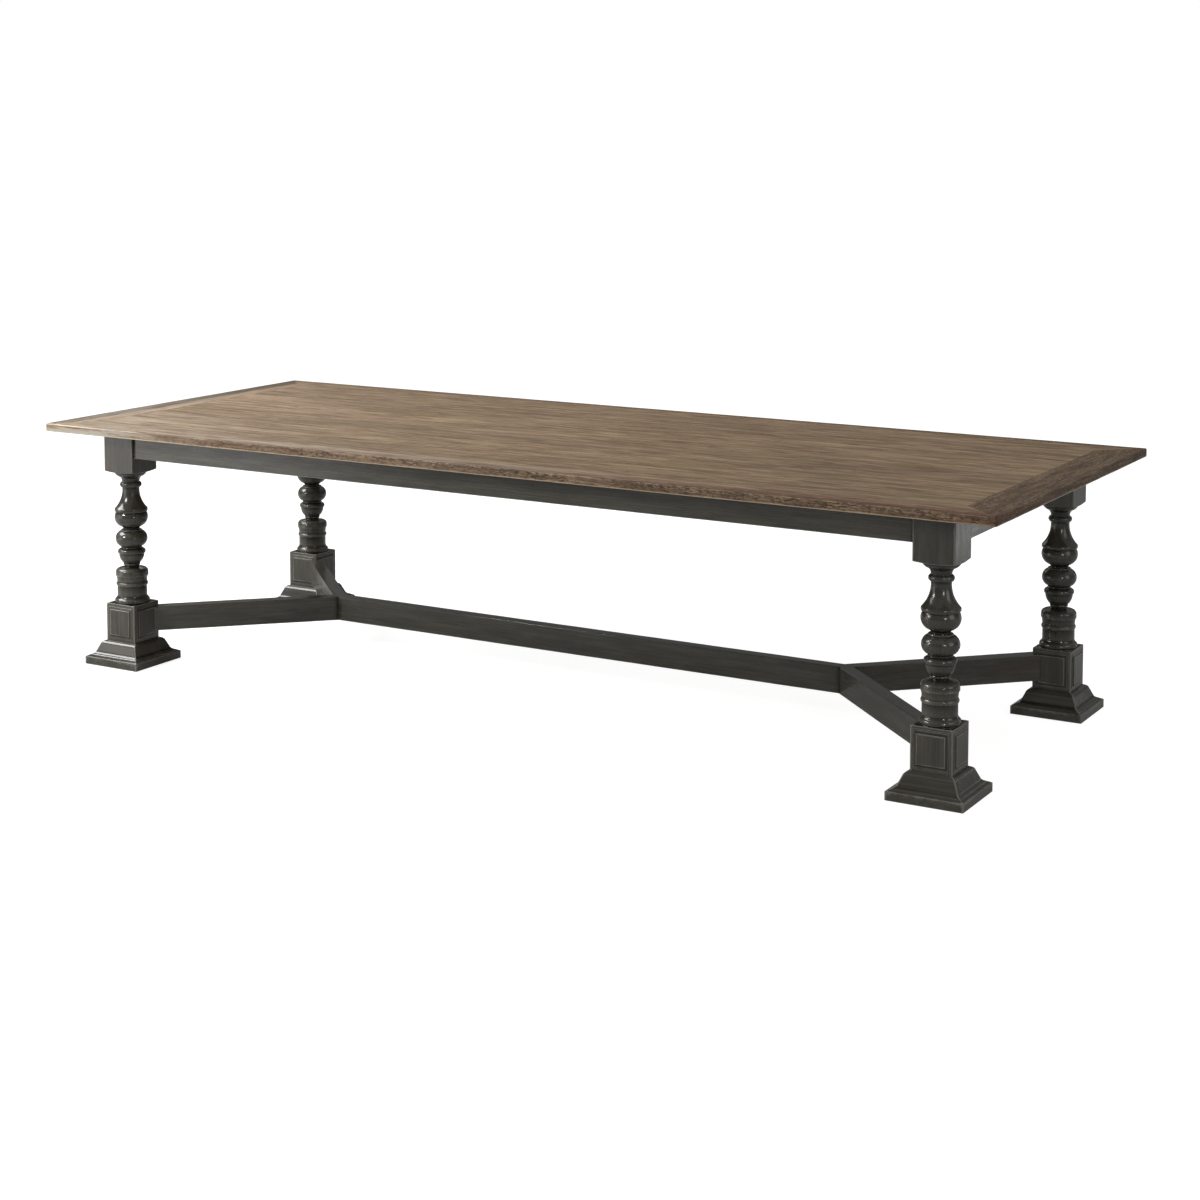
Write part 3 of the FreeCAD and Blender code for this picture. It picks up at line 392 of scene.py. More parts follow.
def weathered_oak(name, ring_width, warp, figure_strength, face_curls, strip=None, heart=0.0):
    """Oak cut from a log, greyed and waxed. The figure strength is how far rings darken, and face
    curls is how much of the rough curly figure of the outer edge shows on the faces too. The strip
    is the part of a face along the outer edge that was sawn from other wood: heart is how dark it
    is, and without it the strip shows the curly figure."""
    material, tree, shader = blank_material(name)
    log = carried(tree, "log")["Vector"]
    edge = carried(tree, "edge")["Fac"]
    flank = carried(tree, "flank")["Fac"]
    tone = carried(tree, "tone")["Fac"]
    values = {"Log": log, "Ring Width": ring_width, "Warp": warp, "Ring Wander": 2.0}
    oak = use_group(tree, OAK_FIGURE, {**values, "Knot": carried(tree, "knot")["Vector"]})
    # The painted pool of light at the near left corner, and a painted highlight on its arrises.
    corner = ease(tree, tone, 0.05, 0.6 * LIT_CORNER)
    amount = calc(tree, "ADD", calc(tree, "MULTIPLY", corner, 0.6), 1.0)
    wear = use_group(tree, BROKEN_WEAR, {"Log": log, "Edge": edge, "Amount": amount})

    wood = waxed_colour(tree, log, oak, figure_strength)
    shown = calc(tree, "MAXIMUM", flank, face_curls)
    if strip and heart:
        wood = laid(tree, wood, OAK_HEART, outer_strip(tree, log, strip), heart)
    elif strip:
        shown = calc(tree, "MAXIMUM", shown, outer_strip(tree, log, strip))
    # In the painted pool of light the curls fade.
    kept = calc(tree, "SUBTRACT", 1.0, calc(tree, "MULTIPLY", corner, 0.7))
    shown = calc(tree, "MULTIPLY", shown, kept)
    dark, brown = [calc(tree, "MULTIPLY", part, shown) for part in sawn_curls(tree, log)]
    wood = laid(tree, wood, OAK_BROWN, brown, 0.62)
    wood = laid(tree, wood, OAK_PORE, dark, 0.90)
    # Worn arrises show raw wood, which also serves as a painted highlight on them.
    wood = laid(tree, wood, OAK_RAW_AND_HIGHLIGHT, wear["Touched"], 0.75)
    blotches = ease(tree, cloud(tree, log, (30.0, 60.0, 60.0), 4.0), 0.30, 0.5)
    reddened = calc(tree, "MULTIPLY", carried(tree, "rub")["Fac"], blotches)
    wood = laid(tree, wood, OAK_RUBBED, reddened, 0.85)
    wood = times(tree, wood, calc(tree, "ADD", tone, 1.0))
    # The painted pool of light and sheen: paler and greyer along the streaks, most on the sides.
    lit_corner = calc(tree, "MULTIPLY", corner, ease(tree, oak["Streaks"], 0.38, 0.54))
    lit_corner = calc(tree, "MULTIPLY", lit_corner, calc(tree, "MAXIMUM", flank, 0.4))
    feed(tree, shader.inputs["Base Color"], laid(tree, wood, OAK_LIT_CORNER, lit_corner, 0.85))

    sheen = ease(tree, cloud(tree, log, (6.0, 30.0, 30.0), 4.0), 0.30, 0.70, 0.52, 0.66)
    rough = calc(tree, "ADD", sheen, calc(tree, "MULTIPLY", oak["Pores"], 0.2))
    polished = calc(tree, "MULTIPLY", edge, 0.22)
    feed(tree, shader.inputs["Roughness"], calc(tree, "SUBTRACT", rough, polished))
    feed(tree, shader.inputs["Specular IOR Level"], 0.3)
    sunk = summed(tree, oak["Pores"], 0.5, oak["Rings"], 0.3)
    sunk = calc(tree, "ADD", sunk, calc(tree, "MULTIPLY", dark, 1.2))
    scraped = calc(tree, "MULTIPLY", cloud(tree, log, (4.0, 22.0, 22.0), 2.0), 0.9)
    bump(tree, shader, calc(tree, "SUBTRACT", scraped, sunk), 0.6, 0.4 * MM)
    return material


FIELD_OAK = weathered_oak("field oak", 3.4 * MM, 7 * MM, 0.30, 0.0)
SIDE_OAK = weathered_oak("side board oak", 5 * MM, 14 * MM, 0.42, 0.12, SIDE_STRIP)
END_OAK = weathered_oak("end board oak", 6 * MM, 16 * MM, 0.50, 0.80)
LEFT_OAK = weathered_oak("left end board oak", 6 * MM, 16 * MM, 0.30, 0.0, LEFT_STRIP, 0.95)
print("materials:", FIELD_OAK.name, SIDE_OAK.name, END_OAK.name, LEFT_OAK.name)

# %% [markdown]
# ## Charcoal paint over wood
#
# The base was painted a brown black with a little olive in it, given a glaze, and rubbed back. The
# glaze has stayed in the hollows, where its dark is also painted shade, brush marks run along each
# member, and on arrises and crowns the paint has gone to a red brown undercoat and in places to the
# wood.

# %% Material of the painted base
PAINT = (0.0400, 0.0380, 0.0290, 1)
PAINT_PALE = (0.0900, 0.0860, 0.0680, 1)
# Glaze in the pores, and in the hollows both glaze and painted shade.
PAINT_GLAZE_AND_SHADE = (0.0050, 0.0049, 0.0038, 1)
UNDERCOAT = (0.075, 0.034, 0.022, 1)
RUBBED_GREY = (0.175, 0.165, 0.140, 1)


def charcoal_paint(name, wear_amount):
    """Paint over oak, with glaze and painted shade in its hollows, and rubbed through at its arrises."""
    material, tree, shader = blank_material(name)
    log = carried(tree, "log")["Vector"]
    edge = carried(tree, "edge")["Fac"]
    hollow = carried(tree, "hollow")["Fac"]
    values = {"Log": log, "Ring Width": 4 * MM, "Warp": 8 * MM, "Ring Wander": 1.0, "Knot": NO_KNOT}
    oak = use_group(tree, OAK_FIGURE, values)
    wear = use_group(tree, BROKEN_WEAR, {"Log": log, "Edge": edge, "Amount": wear_amount})

    mottle = ease(tree, cloud(tree, log, (5.0, 34.0, 34.0), 5.0, 0.6), 0.36, 0.68)
    brush = ease(tree, cloud(tree, log, (3.0, 300.0, 300.0), 3.0, 0.6), 0.42, 0.70)
    coat = tint(tree, summed(tree, mottle, 0.45, brush, 0.35), PAINT, PAINT_PALE)
    coat = laid(tree, coat, UNDERCOAT, wear["Patch"], 0.40)
    coat = laid(tree, coat, PAINT_GLAZE_AND_SHADE, oak["Pores"], 0.30)
    # The hollows take glaze and painted shade.
    coat = laid(tree, coat, PAINT_GLAZE_AND_SHADE, hollow, 0.92)
    reddish = ease(tree, cloud(tree, log, (2.5, 9.0, 9.0), 2.0), 0.48, 0.60)
    coat = laid(tree, coat, tint(tree, reddish, RUBBED_GREY, UNDERCOAT), wear["Touched"], 0.65)
    coat = laid(tree, coat, RUBBED_GREY, wear["Bare"], 0.75)
    lightness = calc(tree, "ADD", carried(tree, "tone")["Fac"], 1.0)
    feed(tree, shader.inputs["Base Color"], times(tree, coat, lightness))

    sheen = ease(tree, cloud(tree, log, (14.0, 60.0, 60.0), 4.0), 0.30, 0.70, 0.14, 0.24)
    dull = calc(tree, "MULTIPLY", wear["Bare"], 0.18)
    feed(tree, shader.inputs["Roughness"], calc(tree, "ADD", sheen, dull))
    strokes = calc(tree, "MULTIPLY", cloud(tree, log, (6.0, 500.0, 500.0), 2.0), 0.10)
    waves = calc(tree, "MULTIPLY", cloud(tree, log, (16.0, 40.0, 40.0), 3.0), 0.9)
    sunk = calc(tree, "MULTIPLY", calc(tree, "ADD", oak["Pores"], wear["Touched"]), 0.10)
    dents = ease(tree, cloud(tree, log, (45.0, 70.0, 70.0), 1.0), 0.70, 0.78, 0.0, 0.8)
    height = calc(tree, "SUBTRACT", calc(tree, "ADD", strokes, waves), calc(tree, "ADD", sunk, dents))
    bump(tree, shader, height, 0.5, 0.30 * MM)
    return material


CHARCOAL = charcoal_paint("charcoal paint", 0.74)
print("material:", CHARCOAL.name)

# %% [markdown]
# ## The wood and fittings out of sight
#
# Underneath, the rails, braces and buttons are bare wood, and the bolts are zinc plated. These
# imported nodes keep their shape. They carry no attributes, so their wood reads Object coordinates,
# and a Mapping node turns the grain along each piece.

# %% Materials of the hidden pieces
BARE_PALE = (0.46, 0.34, 0.22, 1)
BARE_MID = (0.36, 0.25, 0.155, 1)
BARE_DARK = (0.22, 0.145, 0.085, 1)
ZINC_DARK, ZINC_PALE = (0.42, 0.43, 0.45, 1), (0.66, 0.66, 0.64, 1)
NYLON_BLACK, NYLON_DUSTY = (0.035, 0.034, 0.032, 1), (0.13, 0.12, 0.11, 1)


def bare_wood(name, turn, offset):
    """Sanded wood whose grain runs at a turn in degrees from the table's length. The offset is
    where in a log it was sawn."""
    material, tree, shader = blank_material(name)
    place = add(tree, "TexCoord").outputs["Object"]
    mapping = {"Vector": place, "Location": offset, "Rotation": (0, 0, math.radians(-turn))}
    log = add(tree, "Mapping", mapping, vector_type="POINT").outputs[0]
    values = {"Log": log, "Ring Width": 3 * MM, "Warp": 8 * MM, "Ring Wander": 1.5}
    oak = use_group(tree, OAK_FIGURE, values)
    wood = tint(tree, ease(tree, oak["Streaks"], 0.36, 0.66), BARE_MID, BARE_PALE)
    wood = laid(tree, wood, BARE_DARK, oak["Rings"], 0.45)
    wood = laid(tree, wood, BARE_DARK, oak["Pores"], 0.5)
    feed(tree, shader.inputs["Base Color"], wood)
    feed(tree, shader.inputs["Roughness"], ease(tree, oak["Streaks"], 0.3, 0.7, 0.55, 0.7))
    bump(tree, shader, calc(tree, "MULTIPLY", oak["Pores"], -1.0), 0.4, 0.2 * MM)
    return material


def zinc(name):
    """Plated steel, clouded and finely scratched."""
    material, tree, shader = blank_material(name)
    place = add(tree, "TexCoord").outputs["Object"]
    clouds = cloud(tree, place, (160.0, 160.0, 160.0), 4.0)
    feed(tree, shader.inputs["Base Color"], tint(tree, clouds, ZINC_DARK, ZINC_PALE))
    feed(tree, shader.inputs["Metallic"], 1.0)
    feed(tree, shader.inputs["Roughness"], ease(tree, clouds, 0.3, 0.7, 0.28, 0.45))
    bump(tree, shader, cloud(tree, place, (2200.0, 2200.0, 500.0), 2.0), 0.25, 0.05 * MM)
    return material


def scuffed_nylon(name):
    """Dark nylon, dusty and scuffed from the floor."""
    material, tree, shader = blank_material(name)
    place = add(tree, "TexCoord").outputs["Object"]
    scuffs = ease(tree, cloud(tree, place, (900.0, 260.0, 400.0), 4.0), 0.45, 0.75)
    feed(tree, shader.inputs["Base Color"], tint(tree, scuffs, NYLON_BLACK, NYLON_DUSTY))
    feed(tree, shader.inputs["Roughness"], ease(tree, scuffs, 0.0, 1.0, 0.5, 0.75))
    bump(tree, shader, scuffs, 0.3, 0.1 * MM)
    return material


RAIL_WOOD = bare_wood("bare wood across", 90, (0.4, 0.05, -0.66))
SLANT_WOOD = bare_wood("bare wood slant", 45, (0.2, 0.04, -0.62))
COUNTERSLANT_WOOD = bare_wood("bare wood counterslant", -45, (0.7, 0.03, -0.62))
BUTTON_WOOD = bare_wood("bare wood along", 0, (0.1, 0.02, -0.70))
ZINC = zinc("zinc plate")
NYLON = scuffed_nylon("scuffed nylon")
print("materials:", RAIL_WOOD.name, BUTTON_WOOD.name, ZINC.name, NYLON.name)

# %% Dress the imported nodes
def dress(node, material):
    """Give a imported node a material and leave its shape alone."""
    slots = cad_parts[node].data.materials
    slots.clear()
    slots.append(material)


dressed = {
    "cross_rail_left": RAIL_WOOD,
    "cross_rail_middle": RAIL_WOOD,
    "cross_rail_right": RAIL_WOOD,
    "top_end_tongues": RAIL_WOOD,
    "top_seam_tongues": BUTTON_WOOD,
    "top_mitre_splines": BUTTON_WOOD,
    "top_buttons": BUTTON_WOOD,
    "stretcher_dowels": BUTTON_WOOD,
    "brace_washers": ZINC,
    "brace_nuts": ZINC,
    "floor_glides": NYLON,
}
for name, x, y in CORNERS:
    dressed[f"corner_brace_{name}"] = COUNTERSLANT_WOOD if x * y > 0 else SLANT_WOOD
for node, material in dressed.items():
    dress(node, material)
print("dressed", len(dressed), "packed nodes")

# %% [markdown]
# ## From a grid of numbers to a surface
#
# Every new piece is a stack of closed outlines: an array of rows, columns and x, y, z. `skin` joins
# neighbours into quads and closes both ends, `joined` puts several stacks into one mesh, and
# `add_piece` writes the arrays into a mesh with the attributes that the materials read.

# %% Mesh helpers
def skin(rows):
    """Quads between each outline and the next, and a face over the first and the last outline."""
    count, across = rows.shape[:2]
    index = np.arange(count * across).reshape(count, across)
    right = np.roll(index, -1, axis=1)
    quads = np.stack([index[:-1], right[:-1], right[1:], index[1:]], axis=-1).reshape(-1, 4)
    return rows.reshape(-1, 3), quads.tolist() + [index[0][::-1].tolist(), index[-1].tolist()]


def joined(grids):
    """The points and faces of several stacks of outlines as one mesh."""
    points, faces = [], []
    for grid in grids:
        first = sum(len(part) for part in points)
        grid_points, grid_faces = skin(grid)
        points.append(grid_points)
        faces += [[corner + first for corner in face] for face in grid_faces]
    return np.concatenate(points), faces


def sawn_from_log(points, along, up, centre, start, depth, tilt=0.0, side=0.0):
    """Each point's place in the log: its run along the grain plus a start, and its two distances
    from the pith, which lies the depth below the piece's centre and tilts along the grain."""
    along, up = np.array(along, float), np.array(up, float)
    across = np.cross(up, along)
    local = points - np.array(centre)
    run = local @ along
    return np.stack([run + start, local @ across + side, local @ up + depth + tilt * run], axis=1)


def add_piece(name, points, faces, marks, material, slot, replaced):
    """A mesh object from arrays, with its attributes, material and the nodes it stands for."""
    mesh = bpy.data.meshes.new(name)
    mesh.from_pydata(points.tolist(), [], faces)
    mesh.polygons.foreach_set("use_smooth", np.ones(len(mesh.polygons), bool))
    for label, values in marks.items():
        values = np.asarray(values, np.float32)
        kind, field = ("FLOAT_VECTOR", "vector") if values.ndim == 2 else ("FLOAT", "value")
        mesh.attributes.new(label, kind, "POINT").data.foreach_set(field, values.ravel())
    mesh.materials.append(material)
    piece = bpy.data.objects.new(name, mesh)
    bpy.context.scene.collection.objects.link(piece)
    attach(piece, "root")
    if replaced:
        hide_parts(*replaced)
    return piece


print("mesh helpers ready")

# %% [markdown]
# ## Boards with worn arrises
#
# A board is its plan, a polygon, carried up through its thickness. Its arrises are quarter rounds,
# made by drawing each outline in by r (1 - cos t) while it rises by r sin t. Each edge of the plan has
# its own radius: wide on an outer edge that hands rub, narrow at a seam. The radius also wanders
# along the edge, which is what makes the light on an old arris uneven.

# %% Points along a plan
ARC_STEPS = np.radians((0, 22.5, 45, 67.5, 90))
CLEAR = 15 * MM  # how far from a corner of the plan the next point lies, so that outlines never cross
SPACING = 20 * MM  # how far apart the points along an edge lie
WANDER_WAVES = ((19.0, 0.16), (47.0, 0.12), (113.0, 0.08))  # waves per metre times 2 pi, and shares
WANDER_SLANT = 0.8  # how much a step in y counts against one in x
WANDER_LEAST, WANDER_MOST = 0.6, 1.25


def divided(plan, radii_low, radii_high):
    """Points along the plan's edges, and for each the inward normals and radii of the two edges it
    lies on. A point inside an edge counts as lying on that edge and on a square end of no radius."""
    plan = np.array(plan, float)
    ends = np.roll(plan, -1, axis=0)
    points, frames, lows, highs = [], [], [], []
    for number, (here, there) in enumerate(zip(plan, ends)):
        length = np.linalg.norm(there - here)
        run = (there - here) / length
        before = plan[number] - plan[number - 1]
        before = before / np.linalg.norm(before)
        inward, inward_before = np.array([-run[1], run[0]]), np.array([-before[1], before[0]])
        points.append(here[None])
        frames.append(np.array([[inward_before, inward]]))
        lows.append([[radii_low[number - 1], radii_low[number]]])
        highs.append([[radii_high[number - 1], radii_high[number]]])
        if length > 2 * CLEAR:
            steps = np.linspace(CLEAR, length - CLEAR, math.ceil(length / SPACING))
            points.append(here + np.outer(steps, run))
            frames.append(np.tile(np.array([inward, run]), (len(steps), 1, 1)))
            lows.append(np.tile([radii_low[number], 0], (len(steps), 1)))
            highs.append(np.tile([radii_high[number], 0], (len(steps), 1)))
    return [np.concatenate(parts) for parts in (points, frames, lows, highs)]


def wander(points, seed):
    """A slow uneven factor about one: three waves along the piece, out of step with each other."""
    run = points[:, 0] + WANDER_SLANT * points[:, 1]
    waves = sum(share * np.sin(run * rate + seed * rate) for rate, share in WANDER_WAVES)
    return np.clip(1 + waves, WANDER_LEAST, WANDER_MOST)


print("plan helpers ready")

# %% A board from its plan
SUPPORT = 0.8 * MM  # how near to an arris the flat face beside it gets its first outline
FADE = 6 * MM  # how far down a side from an arris the wear has faded out
FACE_FADE = 2 * MM  # the same on a flat face: less than the rounded corners of the top leave room for
SHARP = 1.5 * MM  # an arris of this radius or more counts as fully worn
LEAST_WEAR = 0.1  # the share of the wear that the sharpest arris still gets
BESIDE = 0.4  # how worn the wood just beside an arris is
LOWER_WEAR, UPPER_WEAR = 1.0, 0.3  # an upper arris is waxed, and shows less raw wood than a lower one
RUB_REACH = 60 * MM  # how far the reddish rubbing spreads from the near right corner of the top


def board_rows(plan, low, high, radii_low, radii_high, seed):
    """The outlines of a board from its underside to its top, with the edge and flank marks."""
    points, frames, lows, highs = divided(plan, radii_low, radii_high)
    inverse = np.linalg.inv(frames)
    uneven = wander(points, seed)[:, None]
    rows, edges, flanks = [], [], []

    def draw(radii, face, away, turn, inset, mark):
        """One outline, at a turn round the arris that joins the side to a face, or further in."""
        reach = radii.max(axis=1)
        shift = radii * (1 - math.cos(turn)) + inset * (radii > 0)
        heights = face + away * reach * (1 - math.sin(turn))
        rows.append(np.column_stack([points + np.einsum("pij,pj->pi", inverse, shift), heights]))
        edges.append(mark * np.clip(reach / SHARP, LEAST_WEAR, 1.0))
        flanks.append(np.full(len(points), math.cos(turn)))

    halves = ((lows * uneven, low, 1, LOWER_WEAR), (highs * uneven, high, -1, UPPER_WEAR))
    for radii, face, away, worn in halves:
        draw(radii, face + away * FADE, away, 0, 0, 0)
        draw(radii, face + away * SUPPORT, away, 0, 0, BESIDE * worn)
        for turn in ARC_STEPS:
            draw(radii, face, away, turn, 0, worn)
        draw(radii, face, away, math.pi / 2, SUPPORT, BESIDE * worn)
        draw(radii, face, away, math.pi / 2, FACE_FADE, 0)
        if away > 0:  # the lower half is drawn from the side down, and is kept from the face up
            for made in (rows, edges, flanks):
                made.reverse()
    return np.array(rows), np.array(edges), np.array(flanks)


def fading(points, corner, reach):
    """One at a corner of the table's plan, fading with distance by exp(-distance / reach)."""
    return np.exp(-np.linalg.norm(points[:, :2] - corner, axis=1) / reach)


def add_board(name, plan, low, high, radii, seed, grain, finish, replaced, knot=NO_KNOT):
    """A board from its plan. Radii are (underside, top) in millimetres for each edge; grain is where
    in a log it was sawn; finish is its material, slot and tone, and its slot is not used; knot is
    where a branch grew."""
    radii = np.array(radii) * MM
    rows, edges, flanks = board_rows(plan, low, high, radii[:, 0], radii[:, 1], seed)
    points, faces = skin(rows)
    material, slot, tone = finish
    marks = {
        "log": sawn_from_log(points, **grain),
        "edge": edges.ravel(),
        "flank": flanks.ravel(),
        "hollow": np.zeros(len(points)),
        # The tone also paints a pool of light on the top near its near left corner.
        "tone": tone + LIT_CORNER * fading(points, (-HALF_LENGTH, -HALF_WIDTH), LIT_CORNER_REACH),
        "knot": points - np.array(knot),
        "rub": fading(points, (HALF_LENGTH, -HALF_WIDTH), RUB_REACH),
    }
    return add_piece(name, points, faces, marks, material, slot, replaced)


print("board helper ready")

# %% [markdown]
# ## The planks and the mitred border
#
# Four planks lie lengthwise between border boards that meet in mitres. The seams are closed but
# each board's arris is just broken, so a fine dark line shows. Planks sawn wide of the pith have
# quiet, nearly straight grain. The border comes from nearer the pith and from a leaning log, so it
# has the bold arches of the photograph. The outer corners of the top are slightly rounded: each
# border board carries its half of the round.

# %% The four planks
OUTER, SEAM = (2.0, 3.0), (0.3, 0.7)

# Where in a log each plank was sawn (start, depth, tilt and side), and its tone.
PLANKS = (
    (0.3, 0.150, 0.010, 0.02, 0.03),
    (4.1, 0.115, -0.014, -0.05, -0.03),
    (8.3, 0.170, 0.006, 0.04, 0.04),
    (12.9, 0.130, -0.010, 0.0, -0.02),
)


def rectangle(low, high):
    """The plan of a box, from its near left corner round against the clock."""
    return [(low[0], low[1]), (high[0], low[1]), (high[0], high[1]), (low[0], high[1])]


for number, (start, depth, tilt, side, tone) in enumerate(PLANKS, start=1):
    node = f"top_plank_{number}"
    low, high = corner_of(node)
    grain = dict(along=(1, 0, 0), up=(0, 0, 1), centre=(low + high) / 2)
    grain.update(start=start, depth=depth, tilt=tilt, side=side)
    finish = (FIELD_OAK, "oak_top", tone)
    plan = rectangle(low, high)
    add_board(f"worn_plank_{number}", plan, UNDER_Z, TOP_Z, [SEAM] * 4, number, grain, finish, [node])
print("planks made:", len(PLANKS))

# %% The border boards
CORNER_ROUND = 6 * MM
TIP_TURNS = np.radians([45, 60, 75, 90])
BORDER_RADII = [OUTER] * 7 + [SEAM] * 3
AROUND = {0: (1, 0, 0), 90: (0, 1, 0), 180: (-1, 0, 0), 270: (0, -1, 0)}


def turned(plan, degrees):
    """A plan turned about the middle of the table."""
    c, s = math.cos(math.radians(degrees)), math.sin(math.radians(degrees))
    return np.array(plan) @ np.array([[c, s], [-s, c]])


def border_plan(half, outer, inner_half, inner):
    """A border board with its outer edge towards the front. The points of each rounded tip lie at
    even turns round the corner's centre, from the mitre to the edge."""
    round_x = half - CORNER_ROUND + CORNER_ROUND * np.cos(TIP_TURNS)
    round_y = outer - CORNER_ROUND + CORNER_ROUND * np.sin(TIP_TURNS)
    tip = np.column_stack([round_x, -round_y])
    left = tip * (-1, 1)
    return np.concatenate([left, tip[::-1], [(inner_half, -inner), (-inner_half, -inner)]])


FIELD_X, FIELD_Y = FIELD_HIGH[0], FIELD_HIGH[1]
SIDE_SIZES = (HALF_LENGTH, HALF_WIDTH, FIELD_X, FIELD_Y)
END_SIZES = (HALF_WIDTH, HALF_LENGTH, FIELD_Y, FIELD_X)
END_KNOT = (FIELD_X + 45 * MM, -FIELD_Y + 70 * MM, TOP_Z)
# Each board's turn, oak, sizes, where in a log it was sawn, tone and knot.
BORDERS = (
    ("top_side_board_front", 0, SIDE_OAK, SIDE_SIZES, (20.0, 0.045, 0.016), 0.0, NO_KNOT),
    ("top_end_board_right", 90, END_OAK, END_SIZES, (25.0, 0.038, 0.030), -0.26, END_KNOT),
    ("top_side_board_back", 180, SIDE_OAK, SIDE_SIZES, (30.0, 0.060, -0.014), 0.0, NO_KNOT),
    ("top_end_board_left", 270, LEFT_OAK, END_SIZES, (36.0, 0.042, -0.030), 0.06, NO_KNOT),
)
for node, degrees, oak, sizes, (start, depth, tilt), tone, knot in BORDERS:
    low, high = corner_of(node)
    grain = dict(along=AROUND[degrees], up=(0, 0, 1), centre=(low + high) / 2)
    grain.update(start=start, depth=depth, tilt=tilt)
    finish = (oak, "oak_top", tone)
    plan = turned(border_plan(*sizes), degrees)
    name = f"worn_{node}"
    add_board(name, plan, UNDER_Z, TOP_Z, BORDER_RADII, degrees, grain, finish, [node], knot)
print("border boards made:", len(BORDERS))

# %% [markdown]
# ## Aprons and the forked stretcher
#
# The aprons are plain boards on edge between the leg blocks. The stretcher's beam ends in a point,
# and an arm runs from each leg at 45 degrees, so that beam and arms meet in three mitres. All are
# the same kind of board, with arrises eased by hand.

# %% Aprons
PAINTED = (CHARCOAL, "painted_base", 0.0)
APRON_PAINT = (CHARCOAL, "painted_base", 0.20)  # the aprons, whose paint is made a fifth paler
EASED, HOUSED = (1.6, 0.5), (0.3, 0.3)
TUCK = 3 * MM  # how far a board's end runs on inside the block that it is tenoned into
NEAR_X, NEAR_Y = LEG_X - HALF_BLOCK + TUCK, LEG_Y - HALF_BLOCK + TUCK


def add_apron(node, along_x, start):
    """A board on edge from block to block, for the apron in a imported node's place."""
    low, high = corner_of(node)
    axis, clear = (0, NEAR_X) if along_x else (1, NEAR_Y)
    low[axis], high[axis] = -clear, clear
    radii = [EASED, HOUSED, EASED, HOUSED] if along_x else [HOUSED, EASED, HOUSED, EASED]
    along = (1, 0, 0) if along_x else (0, 1, 0)
    up = np.cross(along, (0, 0, 1))
    grain = dict(along=along, up=up, centre=(low + high) / 2, start=start, depth=0.09, tilt=0.01)
    plan = rectangle(low, high)
    add_board(f"worn_{node}", plan, low[2], high[2], radii, start, grain, APRON_PAINT, [node])


APRON_STARTS = {"front": 50.0, "right": 54.0, "back": 58.0, "left": 62.0}
for side, start in APRON_STARTS.items():
    add_apron(f"apron_{side}", side in ("front", "back"), start)
print("aprons made:", len(APRON_STARTS))

# %% Beam and arms
BEAM_LOW, BEAM_HIGH = corner_of("stretcher_beam")
HALF_BEAM, FORK_X = BEAM_HIGH[1], BEAM_HIGH[0]
ARM_SIDE = HALF_BEAM * math.sqrt(2)
SEAM_X = FORK_X - ARM_SIDE + HALF_BEAM
WORN, JOINT = (1.8, 2.2), (0.3, 0.5)


def add_member(node, plan, radii, along, start, depth):
    """A piece of the stretcher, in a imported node's place. Its log lies across its wide side."""
    up = np.cross(along, (0, 0, 1))
    centre = np.append(np.mean(plan, axis=0), (BEAM_LOW[2] + BEAM_HIGH[2]) / 2)
    grain = dict(along=along, up=up, centre=centre, start=start, depth=depth, tilt=0.012)
    low, high = BEAM_LOW[2], BEAM_HIGH[2]
    add_board(f"worn_{node}", plan, low, high, radii, start, grain, PAINTED, [node])


beam_plan = [
    (-FORK_X, 0),
    (-SEAM_X, -HALF_BEAM),
    (SEAM_X, -HALF_BEAM),
    (FORK_X, 0),
    (SEAM_X, HALF_BEAM),
    (-SEAM_X, HALF_BEAM),
]
beam_radii = [JOINT, WORN, JOINT, JOINT, WORN, JOINT]
add_member("stretcher_beam", beam_plan, beam_radii, (1, 0, 0), 70.0, 0.07)

ARM_PLAN = np.array(
    [
        (NEAR_X, -NEAR_Y - ARM_SIDE),
        (NEAR_X, -NEAR_Y),
        (NEAR_X + ARM_SIDE, -NEAR_Y),
        (FORK_X + ARM_SIDE, 0),
        (FORK_X, 0),
        (SEAM_X, -HALF_BEAM),
    ]
)
ARM_RADII = [HOUSED, HOUSED, WORN, JOINT, JOINT, WORN]
for number, (name, x, y) in enumerate(CORNERS):
    sign_x, sign_y = math.copysign(1, x), math.copysign(1, y)
    plan, radii = ARM_PLAN * (sign_x, -sign_y), ARM_RADII
    if sign_x * sign_y > 0:  # mirrored once, so the outline would run the wrong way round
        plan, radii = plan[::-1], ARM_RADII[-2::-1] + ARM_RADII[-1:]
    along = np.array((-sign_x, -sign_y, 0)) / math.sqrt(2)
    add_member(f"stretcher_arm_{name}", plan, radii, along, 80.0 + 3 * number, 0.06)
print("stretcher made: a beam and", len(CORNERS), "arms")

# %% [markdown]
# ## A profile from a turner's marks
#
# A turner works from a stick with marks: at this height, this radius. Between two marks the line is
# straight, a swelling bead or a hollow cove. `bowed` draws each run as an arc of a circle whose rise
# is a share of the run's length. `softened` then eases each sharp corner, as sanding does, and
# `corner_marks` finds where the finished line turns out, which wears, and in, which holds glaze and
# gets painted shade.

# %% Profile helpers
RUN_POINTS = 9
CUT_SHARE = 0.2  # a softened corner takes this share of the shorter run at most
WEAR_REACH, GLAZE_AND_SHADE_REACH = 1.5 * MM, 3.4 * MM
WEAR_TURN, GLAZE_AND_SHADE_TURN = 1.1, 0.6  # the turn in radians that counts as fully worn, or as fully dark with glaze and painted shade
LEAST_TURN = 0.35  # corners that turn less than this, in radians, are left as they are


